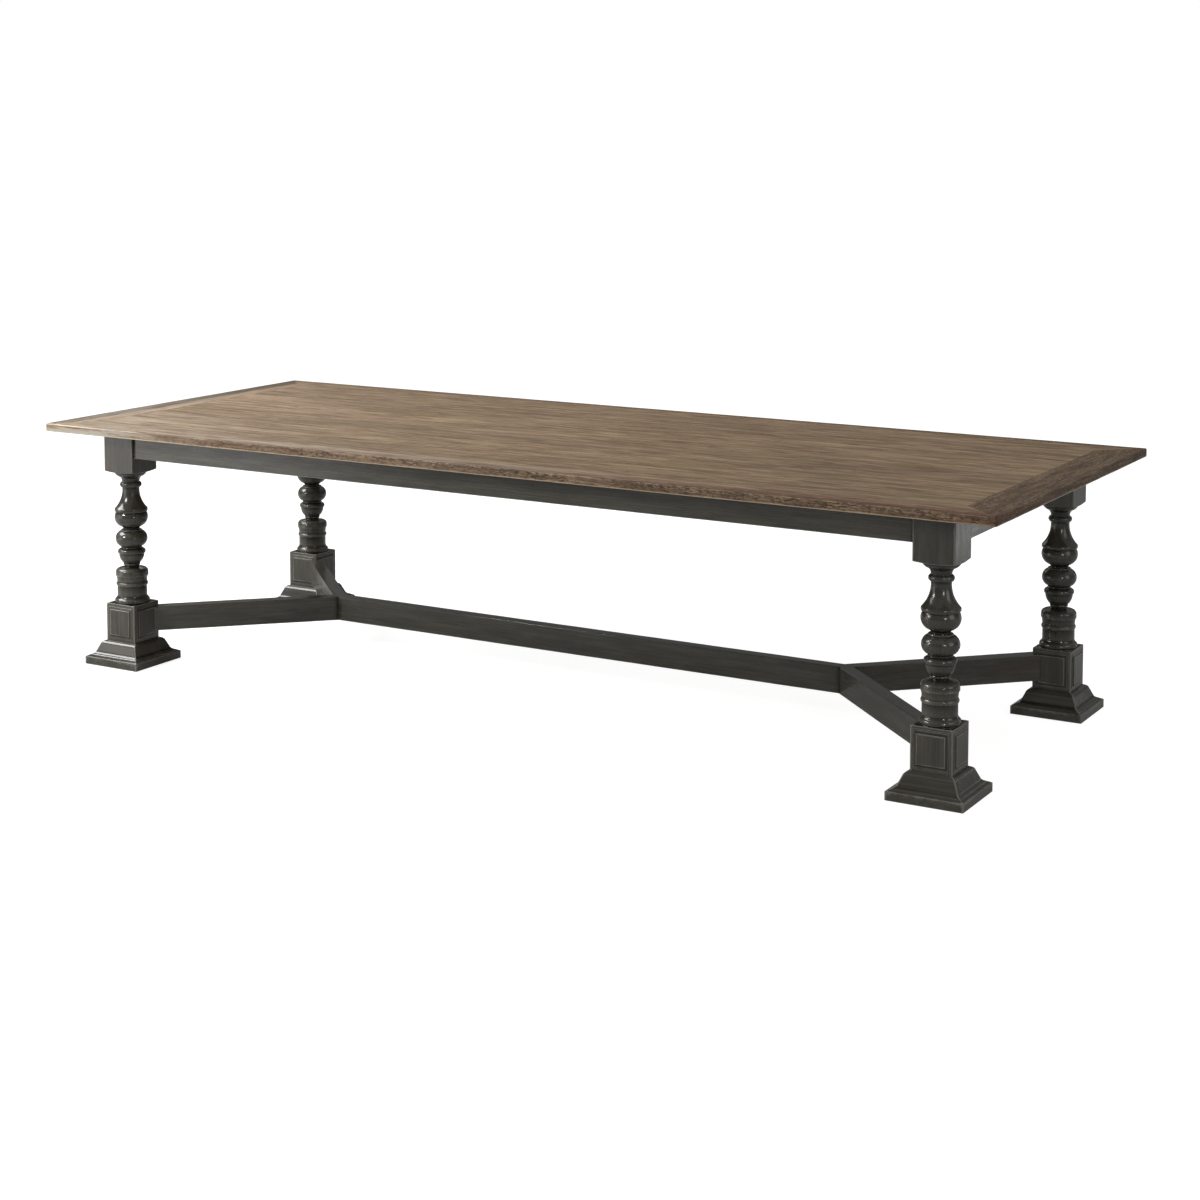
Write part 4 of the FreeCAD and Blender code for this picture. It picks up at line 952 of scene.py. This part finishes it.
def bowed(marks):
    """The profile through marks of (out, up, swell). With rise h and chord c the arc's radius is
    (c c / 4 + h h) / 2 h, and its points lie at even turns round its centre."""
    line = [np.array(marks[0][:2])]
    for (out, up, swell), (out_next, up_next, _) in zip(marks, marks[1:]):
        here, there = np.array((out, up)), np.array((out_next, up_next))
        if swell:
            chord = there - here
            length = np.linalg.norm(chord)
            half_turn = 2 * math.atan(2 * abs(swell))
            radius = length / 2 / math.sin(half_turn)
            turns = np.linspace(-half_turn, half_turn, RUN_POINTS)[1:-1]
            normal = np.array((chord[1], -chord[0])) / length * np.sign(swell)
            along = radius * np.sin(turns) / length + 0.5
            bow = radius * (np.cos(turns) - math.cos(half_turn))
            line.extend(here + np.outer(along, chord) + np.outer(bow, normal))
        line.append(there)
    return np.array(line)


def softened(line, size):
    """The same line with each sharp corner cut back by a small size, and two points beside the cut
    that keep the faces next to it flat."""
    before, after = line[1:-1] - line[:-2], line[2:] - line[1:-1]
    length_before = np.linalg.norm(before, axis=1, keepdims=True)
    length_after = np.linalg.norm(after, axis=1, keepdims=True)
    before, after = before / length_before, after / length_after
    crossed = before[:, 0] * after[:, 1] - before[:, 1] * after[:, 0]
    turn = np.arctan2(crossed, (before * after).sum(axis=1))
    cut_before = np.minimum(size, CUT_SHARE * length_before)
    cut_after = np.minimum(size, CUT_SHARE * length_after)
    middle = line[1:-1]
    four = np.stack(
        [
            middle - 2 * cut_before * before,
            middle - cut_before * before,
            middle + cut_after * after,
            middle + 2 * cut_after * after,
        ],
        axis=1,
    )
    sharp = np.abs(turn) > LEAST_TURN
    kept = np.where(sharp[:, None, None], four, middle[:, None])
    used = np.column_stack([np.ones(len(sharp), bool), sharp, sharp, sharp])
    return np.concatenate([line[:1], kept[used], line[-1:]])


def corner_marks(line):
    """Edge and hollow for each point of a line drawn upwards: how much the line turns out or in
    near the point, each turn weighted by a bell curve of its distance along the line. Glaze
    and painted shade spread further from their corner than wear does."""
    steps = np.diff(line, axis=0)
    heading = np.unwrap(np.arctan2(steps[:, 1], steps[:, 0]))
    turn = np.concatenate([[0], np.diff(heading), [0]])
    along = np.concatenate([[0], np.cumsum(np.linalg.norm(steps, axis=1))])
    gap = along[:, None] - along[None]
    worn = np.exp(-((gap / WEAR_REACH) ** 2)) @ turn
    glazed_and_shaded = np.exp(-((gap / GLAZE_AND_SHADE_REACH) ** 2)) @ turn
    return np.clip(worn / WEAR_TURN, 0, 1), np.clip(-glazed_and_shaded / GLAZE_AND_SHADE_TURN, 0, 1)


print("profile helpers ready")

# %% [markdown]
# ## Round and square on one grid
#
# A leg is one stick: a square block, a turned shaft, a square block. One grid can hold both,
# because each column keeps its own direction from the axis: a row is either the circle of a radius
# or the square of a half width, cut by the same rays. The columns crowd at the corners, where the
# square needs them. Where round meets square, two rows share a height, and the flat ring between
# them is the shoulder that the gouge leaves.

# %% Round and square outlines
CORNER_TURNS = np.radians((0, 30, 60, 90))
SIDE_SHARES = np.array((0.03, 0.09, 0.2, 0.31, 0.42, 0.5, 0.58, 0.69, 0.8, 0.91, 0.97))


def square_outline(half, arris):
    """A square with rounded corners: a quarter round at each corner, then points along the side."""
    centre = half - arris
    quarter = centre + arris * np.column_stack([np.cos(CORNER_TURNS), np.sin(CORNER_TURNS)])
    side = np.column_stack([centre * (1 - 2 * SIDE_SHARES), np.full(len(SIDE_SHARES), half)])
    first = np.concatenate([quarter, side])
    return np.concatenate([turned(first, degrees) for degrees in AROUND])


RAY_ARRIS = 2 * MM
RAYS = square_outline(HALF_BLOCK, RAY_ARRIS)
RAYS = RAYS / np.linalg.norm(RAYS, axis=1, keepdims=True)
BESIDE_CORNER = 0.35  # how worn the columns next to a corner are
one_side = np.arange(len(RAYS) // len(AROUND)) < len(CORNER_TURNS)
is_corner = np.tile(one_side, len(AROUND)) * 1.0
beside = np.maximum(np.roll(is_corner, 1), np.roll(is_corner, -1))
CORNER_EDGE = np.maximum(is_corner, BESIDE_CORNER * beside)
print("upright pieces have", len(RAYS), "columns")

# %% Pieces on an upright axis
SCUFF, SCUFF_Z, SCUFF_REACH = 0.80, 245 * MM, 30 * MM  # shoes have scuffed the legs' drums paler


def level(line, square, sink=0.0):
    """Rows for a line of out and up: whether they are square, and how far they rise per metre from
    the axis, where a face is dished."""
    return np.column_stack([line, np.full(len(line), square), np.full(len(line), sink)])


def quarter(out, up, size, rising):
    """The eased corner between an upright side and the flat face above it, or below it."""
    turns, way = (ARC_STEPS, -1) if rising else (ARC_STEPS[::-1], 1)
    return np.column_stack([out - size * (1 - np.cos(turns)), up + way * size * (1 - np.sin(turns))])


def upright_piece(name, levels, arris, axis, grain, replaced):
    """A painted piece on an upright axis from its rows of out, up, square and sink."""
    outs, ups, squares, sinks = levels.T[:, :, None]
    squared = np.array([square_outline(out, arris) for out in levels[:, 0]])
    outlines = np.where(squares[..., None] > 0, squared, RAYS * outs[..., None])
    heights = ups + sinks * np.linalg.norm(outlines, axis=2)
    points, faces = skin(np.dstack([outlines + axis, heights]))
    edge, hollow = corner_marks(levels[:, :2] + levels[:, 3:] * levels[:, :1] * (0, 1))
    material, slot, tone = PAINTED
    scuffed = SCUFF * np.exp(-(((levels[:, 1] - SCUFF_Z) / SCUFF_REACH) ** 2)) * (1 - levels[:, 2])
    marks = {
        "log": sawn_from_log(points, **grain),
        "edge": np.maximum(edge[:, None], CORNER_EDGE * squares).ravel(),
        "hollow": np.repeat(hollow, len(RAYS)),
        "tone": np.repeat(tone + scuffed, len(RAYS)),
    }
    return add_piece(name, points, faces, marks, material, slot, replaced)


print("upright helper ready")

# %% [markdown]
# ## The turned legs
#
# From the foot of the shaft up: a drum between two rings, a small bead, a cup with a rim, two fat
# bulbs, a ring and a long vase, an astragal, and an ogee that opens out under the block. Each mark is
# a share of the shaft's height, a share of the block's half width and the swell of the run above it.

# %% Legs
STORY_STICK = (
    (0.000, 0.925, 0.14),
    (0.030, 0.925, 0),
    (0.034, 0.888, -0.12),
    (0.066, 0.808, 0),
    (0.127, 0.804, 0.24),
    (0.157, 0.818, -0.06),
    (0.204, 0.868, 0),
    (0.206, 0.890, 0),
    (0.236, 0.882, 0.20),
    (0.260, 0.640, 0),
    (0.271, 0.392, 0),
    (0.279, 0.405, 0.28),
    (0.298, 0.425, 0),
    (0.301, 0.475, 0.10),
    (0.370, 0.690, 0),
    (0.375, 0.742, 0.10),
    (0.398, 0.728, 0),
    (0.413, 0.570, 0),
    (0.424, 0.572, 0.335),
    (0.544, 0.578, 0),
    (0.550, 0.572, 0),
    (0.552, 0.442, 0),
    (0.563, 0.450, -0.10),
    (0.578, 0.600, 0.22),
    (0.686, 0.823, 0),
    (0.691, 0.888, 0.08),
    (0.711, 0.888, -0.105),
    (0.869, 0.466, 0),
    (0.872, 0.520, 0.26),
    (0.909, 0.520, 0),
    (0.911, 0.474, 0),
    (0.924, 0.478, -0.08),
    (0.952, 0.610, 0.12),
    (0.988, 0.895, 0),
)
PEDESTAL_HEIGHT, TOP_BLOCK_HEIGHT = 117 * MM, 128 * MM
SHAFT_LOW = BLOCK_Z + PEDESTAL_HEIGHT
SHAFT_HIGH = UNDER_Z - TOP_BLOCK_HEIGHT
SHAFT = SHAFT_HIGH - SHAFT_LOW
BLOCK_ARRIS = 2.2 * MM
SHOULDER_EASE = 1.2 * MM
EASE_ROOM = 2.5 * SHOULDER_EASE  # how far from a block's eased end the next row lies
BEAD_EASE = 0.5 * MM
# Rows close to the ends of the blocks, without which the smooth shading would tilt their faces.
END_ROW, PEDESTAL_ROW, TOP_BLOCK_ROW = 1 * MM, 8 * MM, 12 * MM

marks = [
    (out_share * HALF_BLOCK, SHAFT_LOW + up_share * SHAFT, swell)
    for up_share, out_share, swell in STORY_STICK
]
shaft = softened(bowed(marks), BEAD_EASE)
shoulder_out, shoulder_up = shaft[-1]
sink = (SHAFT_HIGH - shoulder_up) / (HALF_BLOCK * math.sqrt(2) - shoulder_out)
under = shoulder_up - sink * shoulder_out
beside_ease = HALF_BLOCK - EASE_ROOM
pedestal_rows = (BLOCK_Z, BLOCK_Z + END_ROW, SHAFT_LOW - PEDESTAL_ROW, SHAFT_LOW - EASE_ROOM)
top_block_rows = (SHAFT_HIGH + TOP_BLOCK_ROW, UNDER_Z - END_ROW, UNDER_Z)
leg_levels = np.concatenate(
    [
        level([(HALF_BLOCK, up) for up in pedestal_rows], 1),
        level(quarter(HALF_BLOCK, SHAFT_LOW, SHOULDER_EASE, True), 1),
        level([(beside_ease, SHAFT_LOW)], 1),
        level(shaft, 0),
        level([(beside_ease, under)], 1, sink),
        level(quarter(HALF_BLOCK, under, SHOULDER_EASE, False), 1, sink),
        level([(HALF_BLOCK, under + EASE_ROOM)], 1, sink),
        level([(HALF_BLOCK, up) for up in top_block_rows], 1),
    ]
)
for number, (name, x, y) in enumerate(CORNERS):
    grain = dict(along=(0, 0, 1), up=(1, 0, 0), centre=(x, y, (BLOCK_Z + UNDER_Z) / 2))
    grain.update(start=100.0 + 3 * number, depth=0.03, side=0.02)
    upright_piece(f"worn_leg_{name}", leg_levels, BLOCK_ARRIS, (x, y), grain, [f"leg_{name}"])
print("legs made, rows:", len(leg_levels))

# %% [markdown]
# ## Plinths and foot slabs
#
# Each leg stands on a plinth whose side is an ogee: a hollow at the toe that turns into a swell
# under the block. Below it lies a square slab with a small bevel. Both are square rows only.

# %% Plinths and slabs
PLINTH_MARKS = (
    (0.896, 0.000, 0),
    (0.667, 0.108, -0.12),
    (0.490, 0.310, 0),
    (0.310, 0.730, 0.14),
    (0.080, 0.960, 0),
    (0.000, 1.000, 0),
)
OVERHANG = HALF_SLAB - HALF_BLOCK
PLINTH_HEIGHT = BLOCK_Z - PLINTH_Z
PLINTH_ARRIS = 1.0 * MM
BEVEL_IN, BEVEL_DOWN = 5.0 * MM, 2.5 * MM
SOLE_ROW, SIDE_ROW = 4 * MM, 3 * MM  # how far from the slab's lower arris the rows beside it lie

marks = [
    (HALF_BLOCK + out_share * OVERHANG, PLINTH_Z + up_share * PLINTH_HEIGHT, swell)
    for out_share, up_share, swell in PLINTH_MARKS
]
plinth_levels = level(softened(bowed(marks), BEAD_EASE), 1)
sole = [(HALF_SLAB - SOLE_ROW, SLAB_LOW[2])]
lower_arris = quarter(HALF_SLAB, SLAB_LOW[2], PLINTH_ARRIS, False)
bevelled = [
    (HALF_SLAB, SLAB_LOW[2] + SIDE_ROW),
    (HALF_SLAB, PLINTH_Z - BEVEL_DOWN),
    (HALF_SLAB - BEVEL_IN, PLINTH_Z),
    (HALF_SLAB - 3 * BEVEL_IN, PLINTH_Z),
]
slab_levels = level(np.concatenate([sole, lower_arris, softened(np.array(bevelled), BEAD_EASE)]), 1)
# Each piece's name, rows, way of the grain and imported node. A slab's grain crosses its plinth's.
FEET = (
    ("plinth", plinth_levels, (1, 0, 0), "plinth"),
    ("slab", slab_levels, (0, 1, 0), "foot_slab"),
)
for number, (name, x, y) in enumerate(CORNERS):
    for part, levels, along, node in FEET:
        grain = dict(along=along, up=(0, 0, 1), centre=(x, y, PLINTH_Z))
        grain.update(start=120.0 + 2 * number, depth=0.05)
        upright_piece(f"worn_{part}_{name}", levels, PLINTH_ARRIS, (x, y), grain, [f"{node}_{name}"])
print("plinths and slabs made, rows:", len(plinth_levels), len(slab_levels))

# %% [markdown]
# ## Raised panels
#
# Each face of the lower block has a raised panel: a small step, a gentle slope and a flat field. It
# is a stack of rectangles that shrink as they rise, so the slopes meet in true mitres. The two panels
# that face the stretcher's arm run into it, as the real ones are cut over it.

# %% Panels
PANEL_MARGIN, PANEL_STEP, PANEL_SLOPE, PANEL_RISE = 10 * MM, 1.6 * MM, 8 * MM, 4.6 * MM
PANEL_SHARES = np.array((0.0, 0.012, 0.06, 0.28, 0.5, 0.72, 0.94, 0.988))
PANEL_HALF = HALF_BLOCK - PANEL_MARGIN
PANEL_MIDDLE = BLOCK_Z + PEDESTAL_HEIGHT / 2
PANEL_HALF_HEIGHT = PEDESTAL_HEIGHT / 2 - PANEL_MARGIN

GLAZE_AND_SHADE_WIDTH, GLAZE_AND_SHADE_THICKNESS = 3.5 * MM, 0.06 * MM  # a film of dark wax lies round each panel, and its dark is also painted shade
PANEL_SINK = 0.5 * MM  # how far the panel's foot goes into the block
FIELD_STEP = 1.4 * MM  # the fillet between the slope and the raised field
FIELD_ROW = 8 * MM  # how far inside that fillet the last rectangle lies
moulding = bowed(
    [
        (GLAZE_AND_SHADE_WIDTH, -PANEL_SINK, 0),
        (GLAZE_AND_SHADE_WIDTH, GLAZE_AND_SHADE_THICKNESS, 0),
        (0, GLAZE_AND_SHADE_THICKNESS, 0),
        (0, PANEL_STEP, -0.08),
        (-PANEL_SLOPE, PANEL_RISE - FIELD_STEP, 0),
        (-PANEL_SLOPE, PANEL_RISE, 0),
        (-PANEL_SLOPE - FIELD_ROW, PANEL_RISE, 0),
    ]
)
moulding = softened(moulding, BEAD_EASE)
panel_edge, panel_hollow = corner_marks(moulding)
signs = np.array([(1, -1), (1, 1), (-1, 1), (-1, -1)], float)
steps = np.roll(signs, -1, axis=0) - signs
frame_lines = (signs[:, None] + PANEL_SHARES[None, :, None] * steps[:, None]).reshape(-1, 2)
sizes = np.array((PANEL_HALF, PANEL_HALF_HEIGHT)) + moulding[:, :1]
rectangles = frame_lines[None] * sizes[:, None]
print("a panel has", len(moulding), "rectangles of", len(frame_lines), "points")


def panel_rows(degrees, axis):
    """The rectangles of one panel, stood on the face of the block that the turn brings round."""
    out = np.broadcast_to(HALF_BLOCK + moulding[:, 1:], rectangles.shape[:2])
    across = np.dstack([rectangles[..., 0], -out])
    plan = turned(across.reshape(-1, 2), degrees).reshape(across.shape) + axis
    return np.dstack([plan, PANEL_MIDDLE + rectangles[..., 1]])


for number, (name, x, y) in enumerate(CORNERS):
    points, faces = joined([panel_rows(degrees, (x, y)) for degrees in AROUND])
    grain = dict(along=(0, 0, 1), up=(1, 0, 0), centre=(x, y, PANEL_MIDDLE))
    grain.update(start=140.0 + 3 * number, depth=0.12)
    marks = {
        "log": sawn_from_log(points, **grain),
        "edge": np.tile(np.repeat(panel_edge, len(frame_lines)), len(AROUND)),
        "hollow": np.tile(np.repeat(panel_hollow, len(frame_lines)), len(AROUND)),
        "tone": np.zeros(len(points)),
    }
    replaced = [f"block_panels_{name}"]
    add_piece(f"worn_panels_{name}", points, faces, marks, CHARCOAL, "painted_base", replaced)
print("panels made:", len(CORNERS) * len(AROUND))

# %% [markdown]
# ## Screws and threaded rods
#
# A table is turned over now and then, so its fixings are made as they are. One pan head screw with
# a cross recess holds each button up against the top. Its head is a low dome with the recess
# pressed in. The corner braces are drawn up by rods with a real thread: the radius falls and rises
# as the point moves along the rod or round it, which winds the groove into a helix.

# %% Screws
HEAD_RADIUS, HEAD_RISE, HEAD_SINK = 4.2 * MM, 2.4 * MM, 1 * MM
RECESS_REACH, RECESS_HALF, RECESS_DEPTH, RECESS_EASE = 2.6 * MM, 0.6 * MM, 1.5 * MM, 0.25 * MM
HEAD_TURNS = np.radians(np.arange(0, 360, 7.5))
HEAD_SHARES = np.array((0.05, 0.15, 0.25, 0.35, 0.45, 0.55, 0.65, 0.8, 0.9, 0.97, 1.0))
BUTTON_Z = corner_of("top_buttons")[0][2]
BUTTONS_X, BUTTONS_Y = 645 * MM, 474.5 * MM
END_BUTTONS_X, END_BUTTONS_Y = 1356.5 * MM, 204 * MM


def screw_head():
    """A dome that hangs down, z = -rise sqrt(1 - share share), less the depth of the recess where the
    point is near either arm of the cross. The last outline is buried in the wood."""
    rim = HEAD_SHARES[:, None] * HEAD_RADIUS
    x, y = rim * np.cos(HEAD_TURNS), rim * np.sin(HEAD_TURNS)
    off_arm = np.minimum(np.abs(x), np.abs(y))
    in_arm = np.clip((RECESS_HALF - off_arm) / RECESS_EASE, 0, 1)
    in_reach = np.clip((RECESS_REACH - rim) / RECESS_EASE, 0, 1)
    dome = -HEAD_RISE * np.sqrt(1 - HEAD_SHARES[:, None] ** 2)
    rows = np.dstack([x, y, dome + RECESS_DEPTH * in_arm * in_reach])
    return np.concatenate([rows, rows[-1:] + (0, 0, HEAD_SINK)])


side_places = [((number - 1.5) * BUTTONS_X, way * BUTTONS_Y) for number in range(4) for way in (-1, 1)]
end_places = [(way * END_BUTTONS_X, side * END_BUTTONS_Y) for way in (-1, 1) for side in (-1, 1)]
heads = [screw_head() + (x, y, BUTTON_Z) for x, y in side_places + end_places]
add_piece("button_screws", *joined(heads), {}, ZINC, "steel", [])
print("screws:", len(heads))

# %% Threaded rods
ROD_RADIUS, ROD_LENGTH, ROD_GRIP = 4 * MM, 94.1 * MM, 42 * MM
THREAD_PITCH, THREAD_DEPTH, THREAD_STEPS = 1.5 * MM, 0.7 * MM, 4
ROD_Z, ROD_HALF_SPACING = 697 * MM, 15 * MM
ROD_TURNS = np.radians(np.arange(0, 360, 30))


def threaded_rod(x, y, z):
    """A rod along the diagonal at a corner, with radius R - depth |2 fract(s / pitch - turn) - 1|."""
    inward = -np.array((math.copysign(1, x), math.copysign(1, y), 0)) / math.sqrt(2)
    across = np.cross(inward, (0, 0, 1))
    inner_corner = np.array((x, y, z)) + inward * HALF_BLOCK * math.sqrt(2)
    along = np.arange(0, ROD_LENGTH, THREAD_PITCH / THREAD_STEPS)[:, None]
    phase = (along / THREAD_PITCH - ROD_TURNS / (2 * math.pi)) % 1
    radius = ROD_RADIUS - THREAD_DEPTH * np.abs(2 * phase - 1)
    out, up = radius * np.sin(ROD_TURNS), radius * np.cos(ROD_TURNS)
    middle_line = inner_corner + (along - ROD_GRIP)[..., None] * inward
    return middle_line + out[..., None] * across + up[..., None] * (0, 0, 1)


rods = [threaded_rod(x, y, ROD_Z + way * ROD_HALF_SPACING) for _, x, y in CORNERS for way in (-1, 1)]
add_piece("threaded_rods", *joined(rods), {}, ZINC, "steel", ["hanger_bolts"])
print("rods:", len(rods))

# %% [markdown]
# ## Studio
#
# The photograph was taken from the front right, a little above the top, with a long lens and no
# leaning verticals, in soft light from all round. A large lamp high on the left gives the top its
# pale left end, and broad dim lamps on both sides stand in for pale walls. Small lamps at the front
# left and beside the camera put the sharp glints on the beads, and two at the back draw thin lines
# of light down the far sides. The world adds a little light from above, as a pale ceiling does. The
# floor and the background are white to the camera, and the floor keeps part of its own shading, so
# the table stands in a faint shadow.

# %% Camera
CAMERA_PLACE = (3.372, -5.705, 1.758)
CAMERA_TURN = (85.70, 0.0, 30.74)
CAMERA_LENS, FILM_WIDTH = 66.76, 36
CAMERA_SHIFT = (0.0253, -0.275)
camera = bpy.data.objects.new("camera", bpy.data.cameras.new("camera"))
camera.location = CAMERA_PLACE
camera.rotation_euler = [math.radians(angle) for angle in CAMERA_TURN]
camera.data.sensor_width, camera.data.lens = FILM_WIDTH, CAMERA_LENS
camera.data.shift_x, camera.data.shift_y = CAMERA_SHIFT
bpy.context.scene.collection.objects.link(camera)
bpy.context.scene.camera = camera
bpy.context.scene.view_settings.view_transform = "Standard"
print("camera at", CAMERA_PLACE)

# %% Lamps and world
def soft_lamp(name, place, aim, size, power):
    """A rectangular lamp that faces a point and doesn't show itself in any view."""
    lamp = bpy.data.lights.new(name, "AREA")
    lamp.shape, lamp.size, lamp.size_y, lamp.energy = "RECTANGLE", size[0], size[1], power
    holder = bpy.data.objects.new(name, lamp)
    holder.location = place
    holder.visible_camera = False
    way = np.array(aim) - np.array(place)
    flat = math.hypot(way[0], way[1])
    holder.rotation_euler = (math.atan2(flat, -way[2]), 0, math.atan2(way[1], way[0]) - math.pi / 2)
    bpy.context.scene.collection.objects.link(holder)


soft_lamp("high left", (-4.5, -1.5, 4.2), (0, 0, 0.4), (3.0, 3.0), 354)
soft_lamp("front left", (-2.2, -3.0, 1.8), (-0.6, -0.5, 0.5), (0.35, 0.35), 40)
soft_lamp("left wall", (-3.5, -2.8, 0.70), (-1.4, -0.6, 0.70), (2.2, 1.36), 16.5)
soft_lamp("beside the camera", (4.7, -3.9, 1.7), (1.3, -0.5, 0.4), (0.35, 0.35), 29)
soft_lamp("right wall", (5.0, -0.5, 1.6), (1.4, -0.5, 0.5), (2.0, 2.0), 22)
soft_lamp("back right", (2.4, 2.1, 0.5), (1.4, -0.5, 0.45), (0.3, 0.9), 0.75)
soft_lamp("back left", (-4.6, 3.4, 3.3), (-0.9, 0, 0.75), (2.4, 1.4), 15)

HORIZON, CEILING = 0.09, 0.42  # how bright the world is to every ray but the camera's
world = bpy.data.worlds.new("studio")
bpy.context.scene.world = world
world.use_nodes = True
tree = world.node_tree
background = tree.nodes["Background"]
feed(tree, background.inputs["Color"], (1, 1, 1, 1))
way = add(tree, "TexCoord").outputs["Generated"]
height = add(tree, "SeparateXYZ", {0: way}).outputs["Z"]
ceiling = ease(tree, height, 0.0, 0.8, HORIZON, CEILING)
seen = add(tree, "LightPath").outputs["Is Camera Ray"]
feed(tree, background.inputs["Strength"], calc(tree, "MAXIMUM", seen, ceiling))
print("lamps and world ready")

# %% Floor
FLOOR_HALF = 30.0
FLOOR_GREY = (0.38, 0.38, 0.375, 1)
FLOOR_GLOW = 0.90  # how much of its white the floor sends to the camera by itself
FLOOR_IN_GLOSS = 0.15  # the share of that glow that shows in glossy reflections
FLOOR_CORNERS = [(x * FLOOR_HALF, y * FLOOR_HALF, 0.0) for x, y in ((-1, -1), (1, -1), (1, 1), (-1, 1))]
floor_mesh = bpy.data.meshes.new("floor")
floor_mesh.from_pydata(FLOOR_CORNERS, [], [(0, 1, 2, 3)])
floor = bpy.data.objects.new("floor", floor_mesh)
bpy.context.scene.collection.objects.link(floor)
floor_material, tree, shader = blank_material("pale floor")
feed(tree, shader.inputs["Base Color"], FLOOR_GREY)
feed(tree, shader.inputs["Roughness"], 0.8)
feed(tree, shader.inputs["Specular IOR Level"], 0.2)
feed(tree, shader.inputs["Emission Color"], (1, 1, 1, 1))
rays = add(tree, "LightPath").outputs
in_gloss = calc(tree, "MULTIPLY", rays["Is Glossy Ray"], FLOOR_IN_GLOSS)
shown = calc(tree, "MAXIMUM", rays["Is Camera Ray"], in_gloss)
feed(tree, shader.inputs["Emission Strength"], calc(tree, "MULTIPLY", shown, FLOOR_GLOW))
floor_mesh.materials.append(floor_material)
print("floor ready")
